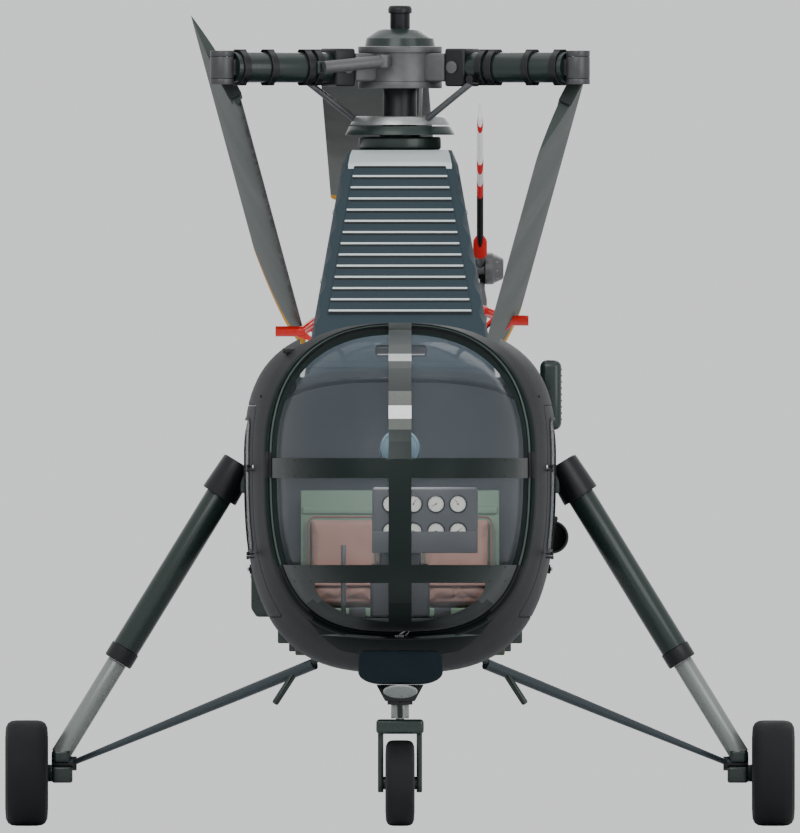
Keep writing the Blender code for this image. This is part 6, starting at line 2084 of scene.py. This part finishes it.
@dataclass
class RotorHead:
    """The swash rings, mast, hub, arms, blades and the struts of the folded blades."""

    hub_z: float = MAST.z
    mast_radius: float = 0.082
    stem: float = 0.05
    pin_reach: float = 0.988
    pin_radius: float = 0.016
    eye_radius: float = 0.058
    damper_turn: float = 41.4
    damper_reach: float = 0.245
    ear_radius: float = 0.031
    chord: float = 0.516
    thickness: float = 0.062
    span: float = 7.40 - 0.988
    root: float = 0.20
    tip_band: float = 0.35
    strut_reach: float = 5.95
    strut_ahead: float = 0.28

    def polar(self, radius: float, azimuth: float, z: float) -> Vector:
        """A point at a radius and azimuth about the mast."""
        angle = math.radians(azimuth)
        return Vector((radius * math.cos(angle), MAST.y + radius * math.sin(angle), z))

    def arm_place(self, azimuth: float) -> Matrix:
        """A frame at the hub's centre whose +X runs out along an arm."""
        return Matrix.Translation((0, MAST.y, self.hub_z)) @ Matrix.Rotation(math.radians(azimuth), 4, "Z")

    def build(self) -> list[Object]:
        """Build the head, arms, blades and struts.

        Returns:
            The pieces.
        """
        made = [self.fixed_ring(), self.mast(), self.hub(), self.turning_ring()]
        for blade in Blade:
            made += [self.arm(blade), self.blade(blade)]
        made += [self.fold_strut(side) for side in Side]
        return made

    def fixed_ring(self) -> Object:
        """The lower swash ring and its base on the pylon."""
        bore = self.mast_radius + 0.0006
        profile = [
            (bore, 3.3645), (0.244, 3.3645), (0.264, 3.3225), (0.100, 3.3225), (0.100, 3.3135), (0.190, 3.3135),
            (0.1975, 3.306), (0.1975, 3.260), (0.188, 3.2505), (bore, 3.2505),
        ]
        piece = dressed("swashplate_lower", "frame_paint")
        piece.add(spun(eased(profile, 0.003, 2), 88, AT_MAST, True), LEG_GREEN)
        return piece.done()

    def mast(self) -> Object:
        """The turning mast with the domed cap and its knob."""
        piece = dressed("rotor_mast", "black_paint", "main_rotor")
        shaft = [
            (0.0, 3.7482), (self.stem, 3.7482), (self.stem, 3.5457), (self.mast_radius, 3.5457),
            (self.mast_radius, 2.052), (0.0, 2.052),
        ]
        piece.add(spun(eased(shaft, 0.002, 2, closed=False), 64, AT_MAST), MAST_BLACK)
        knob = [
            (0.0, 3.9455), (0.040, 3.9448), (0.051, 3.9420), (0.0572, 3.930), (0.0572, 3.909), (0.048, 3.906),
            (0.048, 3.800), (0.0, 3.800),
        ]
        piece.add(spun(eased(knob, 0.002, 2, closed=False), 56, AT_MAST), MAST_BLACK)
        dome = [(0.0, 3.836), (0.049, 3.836), (0.104, 3.8255), (0.161, 3.787), (0.169, 3.7485), (0.0, 3.7485)]
        piece.add(spun(dome, 88, AT_MAST), LEG_GREEN)
        return piece.done()

    def hub(self) -> Object:
        """The steel hub with the arms' lugs and the dampers' ears."""
        piece = dressed("rotor_hub", "hub_steel", "main_rotor")
        bore = self.stem + 0.0004
        profile = [
            (bore, 3.7478), (0.2018, 3.7478), (0.2018, 3.718), (0.195, 3.716), (0.195, 3.580), (0.2018, 3.578),
            (0.2018, 3.5463), (bore, 3.5463),
        ]
        piece.add(spun(eased(profile, 0.003, 2), 96, AT_MAST, True), HUB_GREY)
        for blade in Blade:
            spin = self.arm_place(blade.value)
            piece.add(block((0.165, -0.077, -0.0687), (0.2905, 0.077, 0.0687), 0.014, 4), HUB_GREY, spin)
            turned = self.arm_place(blade.value + self.damper_turn)
            piece.add(block((0.17, -0.0245, 0.006), (self.damper_reach, 0.0245, 0.054), 0.006, 3), HUB_GREY, turned)
            foot, head = ((self.damper_reach, 0, z) for z in (-0.001, 0.061))
            piece.add(rod(foot, head, self.ear_radius - 0.0004, 40, 0.004), HUB_GREY, turned)
        return piece.done()

    def turning_ring(self) -> Object:
        """The pale upper swash ring with the three pitch links."""
        bore = self.mast_radius + 0.0004
        profile = [(bore, 3.4128), (0.212, 3.4128), (0.2208, 3.408), (0.2395, 3.3708), (bore, 3.3708)]
        piece = dressed("swashplate_upper", "hub_steel", "main_rotor")
        piece.add(spun(eased(profile, 0.003, 2), 88, AT_MAST, True), RING_GREY)
        for blade in Blade:
            foot = self.polar(0.222, blade.value - 23.5, 3.400)
            head = self.arm_place(blade.value) @ Vector((0.45, -0.095, -0.075))
            piece.add(rod(foot, head, 0.0155, 28), LINK_GREY)
        return piece.done()

    def arm(self, blade: Blade) -> Object:
        """A rotor arm: hinge block, ringed sleeve, blade eye, pitch horn and damper."""
        piece = dressed(f"rotor_arm_{blade.label}", "frame_paint", "main_rotor")
        place = self.arm_place(blade.value)
        piece.add(block((0.2912, -0.0800, -0.0914), (0.4020, 0.0800, 0.0914), 0.013, 4), MAST_BLACK, place)
        for sign in (1, -1):
            head = rod((0.336, sign * 0.0795, 0.001), (0.336, sign * 0.0900, 0.001), 0.030, 32, 0.003)
            piece.add(head, HUB_GREY, place)
        lay = place @ UP_TO_SIDE
        piece.add(rod((0.36, 0, 0), (0.930, 0, 0), 0.073, 56, 0.004), SLEEVE_GREEN, place)
        for middle in (0.475, 0.529, 0.734, 0.8885):
            start, end = middle - 0.018, middle + 0.018
            ring = [
                (0.070, start), (0.084, start), (0.0857, start + 0.002),
                (0.0857, end - 0.002), (0.084, end), (0.070, end),
            ]
            piece.add(spun(ring, 56, lay, True), MAST_BLACK)
            for sign in (1, -1):
                rings = []
                for half, z in ((0.045, 0.068), (0.027, 0.0870)):
                    corners = ((start, -half), (end, -half), (end, half), (start, half))
                    rings.append([Vector((x, y, sign * z)) for x, y in corners])
                piece.add(lofted(rings), MAST_BLACK, place)
        tongue = block((0.92, -0.0355, -0.0395), (self.pin_reach, 0.0355, 0.0395), 0.006, 3)
        eye = rod((self.pin_reach, 0, -0.0522), (self.pin_reach, 0, 0.0522), self.eye_radius - 0.0004, 56, 0.002)
        fitting = carved(eye, tongue, "UNION")
        bore = rod((self.pin_reach, 0, -0.2), (self.pin_reach, 0, 0.2), self.pin_radius + 0.0006, 32, 0.0)
        piece.add(carved(fitting, bore), PIN_GREY, place)
        piece.add(rod((0.45, 0.0, -0.0575), (0.45, -0.115, -0.0575), 0.020, 32), MAST_BLACK, place)
        self.add_damper(piece, place)
        return piece.done()

    def add_damper(self, piece: Piece, place: Matrix) -> None:
        """Add the clevis and the damper that runs back to the hub's ear."""
        head = Vector((0.49, 0.118, 0.0))
        angle = math.radians(self.damper_turn)
        ear = Vector((self.damper_reach * math.cos(angle), self.damper_reach * math.sin(angle), 0.030))
        piece.add(block((0.4705, 0.0, -0.0300), (0.5095, 0.095, 0.0300), 0.008, 3), LEG_GREEN, place)
        piece.add(rod(head, ear, 0.0305, 40, 0.003), HUB_GREY, place)

    def blade_place(self, blade: Blade) -> tuple[Vector, Matrix, Matrix]:
        """A blade's pin, the frame of its outer part and the level frame at its pin.

        Returns:
            The pin, the frame with +X out along the blade and +Y to its leading edge, and
            the level frame at the pin.
        """
        pin = self.polar(self.pin_reach, blade.value, self.hub_z)
        outboard, lead = 1, 1.0
        if blade is Blade.AFT:
            way, shift = Vector((0.052, 6.41, -0.617)), Vector((0.004, 0, -0.03))
        elif blade is Blade.PORT:
            way, shift, lead = Vector((-0.332, 6.2, -1.20)), Vector((-0.006, 0, -0.045)), 0.460
        else:
            outboard, lead = -1, 0.470
            way, shift = Vector((0.3245, 6.2, -1.20)), Vector((0.018, 0, -0.036))
        edge = Vector((lead, 0.0, outboard * math.sqrt(1 - lead**2)))
        way.normalize()
        edge = (edge - way * edge.dot(way)).normalized()
        turn = Matrix((way, edge, way.cross(edge))).transposed().to_4x4()
        flat = Vector((way.x, way.y, 0.0)).normalized()
        across = Vector((outboard * flat.y, -outboard * flat.x, 0.0))
        level = Matrix((flat, across, Vector((0, 0, 1)))).transposed().to_4x4()
        return pin, Matrix.Translation(pin + shift) @ turn, Matrix.Translation(pin) @ level

    def blade_finish(self, middle: Vector) -> Finish:
        """A yellow band near the tip, dark at the root, and a black leading edge."""
        if middle.x > self.span - self.tip_band:
            return TIP_YELLOW
        if middle.x < 0.46 and middle.y > 0.10 * self.chord * (1 + middle.x / 0.46):
            return ROOT_GREEN
        return TRIM_BLACK if middle.y > 0.235 * self.chord else BLADE_GREEN

    def blade(self, blade: Blade) -> Object:
        """A blade with its root fitting, held by a pin through the arm's eye."""
        pin, place, level = self.blade_place(blade)
        tip = self.span - 0.0005
        stations = [
            (self.root + 0.0005, 0.94), (self.root + 0.012, 0.975), (0.26, 0.985), (0.45, 1.0), (0.47, 1.0),
            (1.4, 1.0), (2.8, 1.0), (4.2, 1.0), (tip - self.tip_band, 1.0), (tip - 0.20, 1.0), (tip - 0.10, 0.95),
            (tip - 0.04, 0.80), (tip - 0.015, 0.66), (tip, 0.49),
        ]
        rings = []
        for reach, share in stations:
            shift = (1 - share) * self.chord * 0.20
            outline = wing_section(self.chord * share, self.thickness * share * 0.995)
            rings.append([Vector((reach, y - shift, z)) for y, z in outline])
        piece = dressed(f"blade_{blade.label}", "blade_skin", blade.body)
        piece.add(lofted(rings), self.blade_finish, place)
        trim = 0.25 * self.chord - 0.75 * self.chord * 0.5
        rear, front = trim - self.chord * 0.475, trim - self.chord * 0.36
        piece.add(block((3.9, rear, -0.0022), (4.5, front, 0.0022), 0.001), BLADE_GREEN, place)
        piece.add(block((0.166, -0.1095, -0.0335), (0.300, 0.0845, 0.0335), 0.010, 4), ROOT_GREEN, place)
        low_edge = -0.012
        web = block((0.0685, low_edge + 0.0005, -0.080), (0.2395, self.eye_radius - 0.0005, 0.080), 0.010, 4)
        piece.add(web, ROOT_GREEN, level)
        for low in (-0.0815, 0.0535):
            ear = block((0.0, low_edge + 0.0025, low + 0.0025), (0.10, self.eye_radius - 0.0045, low + 0.0255), 0.003)
            piece.add(ear, ROOT_GREEN, level)
            disc = rod((0, 0, low + 0.0004), (0, 0, low + 0.0276), self.eye_radius - 0.0004, 56, 0.002)
            piece.add(disc, PIN_GREY, Matrix.Translation(pin))
        piece.add(rod((0, 0, -0.0695), (0, 0, 0.0695), self.pin_radius, 32), STEEL, Matrix.Translation(pin))
        return piece.done()

    def fold_strut(self, side: Side) -> Object:
        """The red strut that steadies a folded blade: a clamp, a cross bar and a foot."""
        blade = Blade.PORT if side is Side.PORT else Blade.STARBOARD
        _, place, _ = self.blade_place(blade)
        s, reach = side.value, self.strut_reach
        crossing = -0.035 if side is Side.PORT else 0.094
        middle = place @ Vector((reach, crossing, 0.0))
        near = middle.y - self.strut_ahead
        if side is Side.PORT:
            spots = ((0.618, near, 2.430), (0.515, near, 2.430), (0.420, middle.y, 2.472))
            wedge = [(0.538, 2.456), (0.4885, 2.369), (0.535, 2.399)]
        else:
            spots = ((-0.599, near, 2.378), (-0.471, near, 2.378), (-0.404, middle.y, 2.424))
            wedge = [(-0.500, 2.355), (-0.418, 2.327), (-0.425, 2.350), (-0.470, 2.391)]
        outer, bend, inner = (Vector(spot) for spot in spots)
        centre = Vector((s * 0.045, middle.y, inner.z + 0.10))
        foot = Vector((s * 0.045, middle.y, 2.005))
        brace_top = inner.lerp(bend, 0.5)
        pieces = [
            plate(wedge, 0.012, facing_front(near), 0.002),
            piped([outer, bend, inner, centre], 0.025),
            rod(foot, centre, 0.0155, 28),
            rod(brace_top, foot + Vector((s * 0.004, 0, 0.06)), 0.0125, 28),
        ]
        piece = dressed(f"fold_strut_{side.label}", "red_paint", blade.body)
        for shape in pieces:
            rings = []
            for x in (reach - 0.4, reach + 0.30):
                outline = wing_section(self.chord + 0.0028, self.thickness + 0.0014)
                rings.append([place @ Vector((x, y, z)) for y, z in outline])
            piece.add(carved(shape, lofted(rings)), FOLD_RED)
        piece.add(rod(foot + Vector((0, 0, 0.001)), foot + Vector((0, 0, 0.022)), 0.022, 28), TRIM_BLACK)
        return piece.done()


@dataclass
class TailRotor:
    """The three-blade tail rotor with its banded blades."""

    chord: float = 0.19
    phase: float = -1.1
    red_from: float = 0.15
    bands: tuple[tuple[float, Finish], ...] = (
        (0.725, TAIL_BLACK), (0.840, TAIL_RED), (0.951, TAIL_PALE), (1.040, TAIL_RED),
        (1.330, TAIL_WHITE), (1.375, TAIL_RED), (2.0, TAIL_WHITE),
    )

    def banded(self, middle: Vector) -> Finish:
        """The finish of a blade's face by its distance from the axis."""
        return next(finish for end, finish in self.bands if middle.z < end)

    def build(self) -> list[Object]:
        """Build the tail rotor.

        Returns:
            The pieces.
        """
        axis = AT_TAIL @ UP_TO_SIDE
        profile = [
            (0.0, 0.4978), (0.045, 0.4978), (0.052, 0.492), (0.069, 0.454), (0.0765, 0.446), (0.0765, 0.410),
            (0.050, 0.405), (0.050, 0.350), (0.0298, 0.345), (0.0298, 0.236), (0.0, 0.236),
        ]
        piece = dressed("tail_rotor", "tail_blade_skin", "tail_rotor")
        piece.add(spun(eased(profile, 0.003, 2, closed=False), 56, axis), HUB_GREY)
        for index in range(9):
            foot = axis @ Vector((0.060, 0, 0.4445))
            turn = AT_TAIL @ Matrix.Rotation(2 * math.pi * index / 9, 4, "X")
            piece.add(stud(0.006, 0.026, heading(foot, (1, 0, 0)), 6), STEEL, turn @ AT_TAIL.inverted())
        piece.add(block((0.378, -0.050, -0.067), (0.407, 0.050, -0.030), 0.002), TAIL_BLACK, AT_TAIL)
        edges = [0.196, 0.25, 0.31, 0.725, 0.840, 0.951, 1.040, 1.25, 1.33, 1.375, 1.40, 1.415]
        shares = [0.30, 0.70, 1.0, 1.0, 1.0, 1.0, 1.0, 1.0, 0.92, 0.78, 0.62, 0.35]
        for index in range(3):
            rings = []
            for reach, share in zip(edges, shares):
                outline = wing_section(self.chord * share, 0.0318 * share, 12)
                rings.append([Vector((z, -y, reach)) for y, z in reversed(outline)])
            angle = math.radians(180 + self.phase + 120 * index)
            place = Matrix.Translation(TAIL_AXIS) @ Matrix.Rotation(angle, 4, "X")
            piece.add(lofted(rings), self.banded, place)
            cuff = [
                (0.0, 0.299), (0.014, 0.299), (0.022, 0.285), (0.0335, 0.25), (0.0335, 0.15), (0.0238, 0.10),
                (0.0238, 0.021), (0.0, 0.021),
            ]
            piece.add(spun(eased(cuff, 0.005, 2, closed=False), 40, place), self.cuff_finish)
        return [piece.done()]

    def cuff_finish(self, middle: Vector) -> Finish:
        """Red along the outer part of the raised blades' cuffs, grey elsewhere."""
        outer = (middle - TAIL_AXIS).length > self.red_from
        return TAIL_RED if outer and middle.z > TAIL_AXIS.z else HUB_GREY


@dataclass
class Studio:
    """The pale floor and the backdrop light, the lamps and the camera."""

    floor_size: float = 90.0
    world_tone: Color = (0.93, 0.94, 0.95, 1.0)
    world_strength: float = 1.0
    scale: float = PHOTO_HEIGHT / PIXELS_PER_METRE
    middle_z: float = GROUND_ROW / PIXELS_PER_METRE - PHOTO_HEIGHT / PIXELS_PER_METRE / 2

    def build(self) -> None:
        """Build the studio."""
        floor = bmesh.new()
        bmesh.ops.create_grid(floor, x_segments=8, y_segments=8, size=self.floor_size / 2)
        mesh = mesh_of(floor, "studio_floor")
        plain = Graph("floor_pale")
        tone = plain.noise(0.6, 2.0)
        plain.feed("Base Color", plain.ramp(tone, ((0.3, tint(222, 223, 224)), (0.7, tint(230, 231, 232)))))
        plain.set(Roughness=0.85, Specular_IOR_Level=0.1)
        mesh.materials.append(plain.material)
        linked("studio_floor", mesh)
        world = bpy.data.worlds.new("studio")
        world.use_nodes = True
        back = world.node_tree.nodes["Background"]
        back.inputs["Color"].default_value = self.world_tone
        back.inputs["Strength"].default_value = self.world_strength
        bpy.context.scene.world = world
        self.light("key", (-4.0, -16.0, 11.0), (0, -3.0, 1.6), 760.0, 9.0)
        self.light("fill", (7.5, -13.0, 5.0), (0, -3.0, 1.8), 380.0, 7.0)
        self.light("top", (0.0, -2.0, 13.0), (0, -1.5, 1.0), 300.0, 10.0)
        self.light("back", (3.0, 15.0, 9.0), (0, 1.0, 1.5), 420.0, 8.0)
        self.light("cabin", (0.0, RING_Y - 0.22, 2.02), (0.0, MAST.y - 1.1, 1.30), 16.0, 0.45)
        lens = bpy.data.cameras.new("front")
        lens.type = "ORTHO"
        lens.ortho_scale = self.scale
        lens.clip_end = 200.0
        camera = linked("front", lens)
        camera.location = (0.0, -30.0, self.middle_z)
        camera.rotation_euler = (math.pi / 2, 0.0, 0.0)
        bpy.context.scene.camera = camera

    def light(self, name: str, place: Sequence[float], aim: Sequence[float], power: float, size: float) -> None:
        """Add one large soft lamp."""
        lamp = bpy.data.lights.new(name, "AREA")
        lamp.energy = power
        lamp.size = size
        holder = linked(name, lamp)
        holder.matrix_world = along(place, aim) @ Matrix.Rotation(math.pi, 4, "X")
        holder.visible_camera = False


def main() -> None:
    """Build the studio and every sub-assembly in order, and report each piece."""
    logging.basicConfig(level=logging.INFO, format="%(message)s")
    Studio().build()
    assemblies = (
        Nose(), Cabin(), Interior(), EngineBay(), Pylon(), Tail(), Steps(), MainGear(), NoseGear(), RotorHead(),
        TailRotor(),
    )
    for assembly in assemblies:
        for piece in assembly.build():
            LOG.info("%s: %s, %d faces", type(assembly).__name__, piece.name, len(piece.data.polygons))


if __name__ == "__main__":
    main()
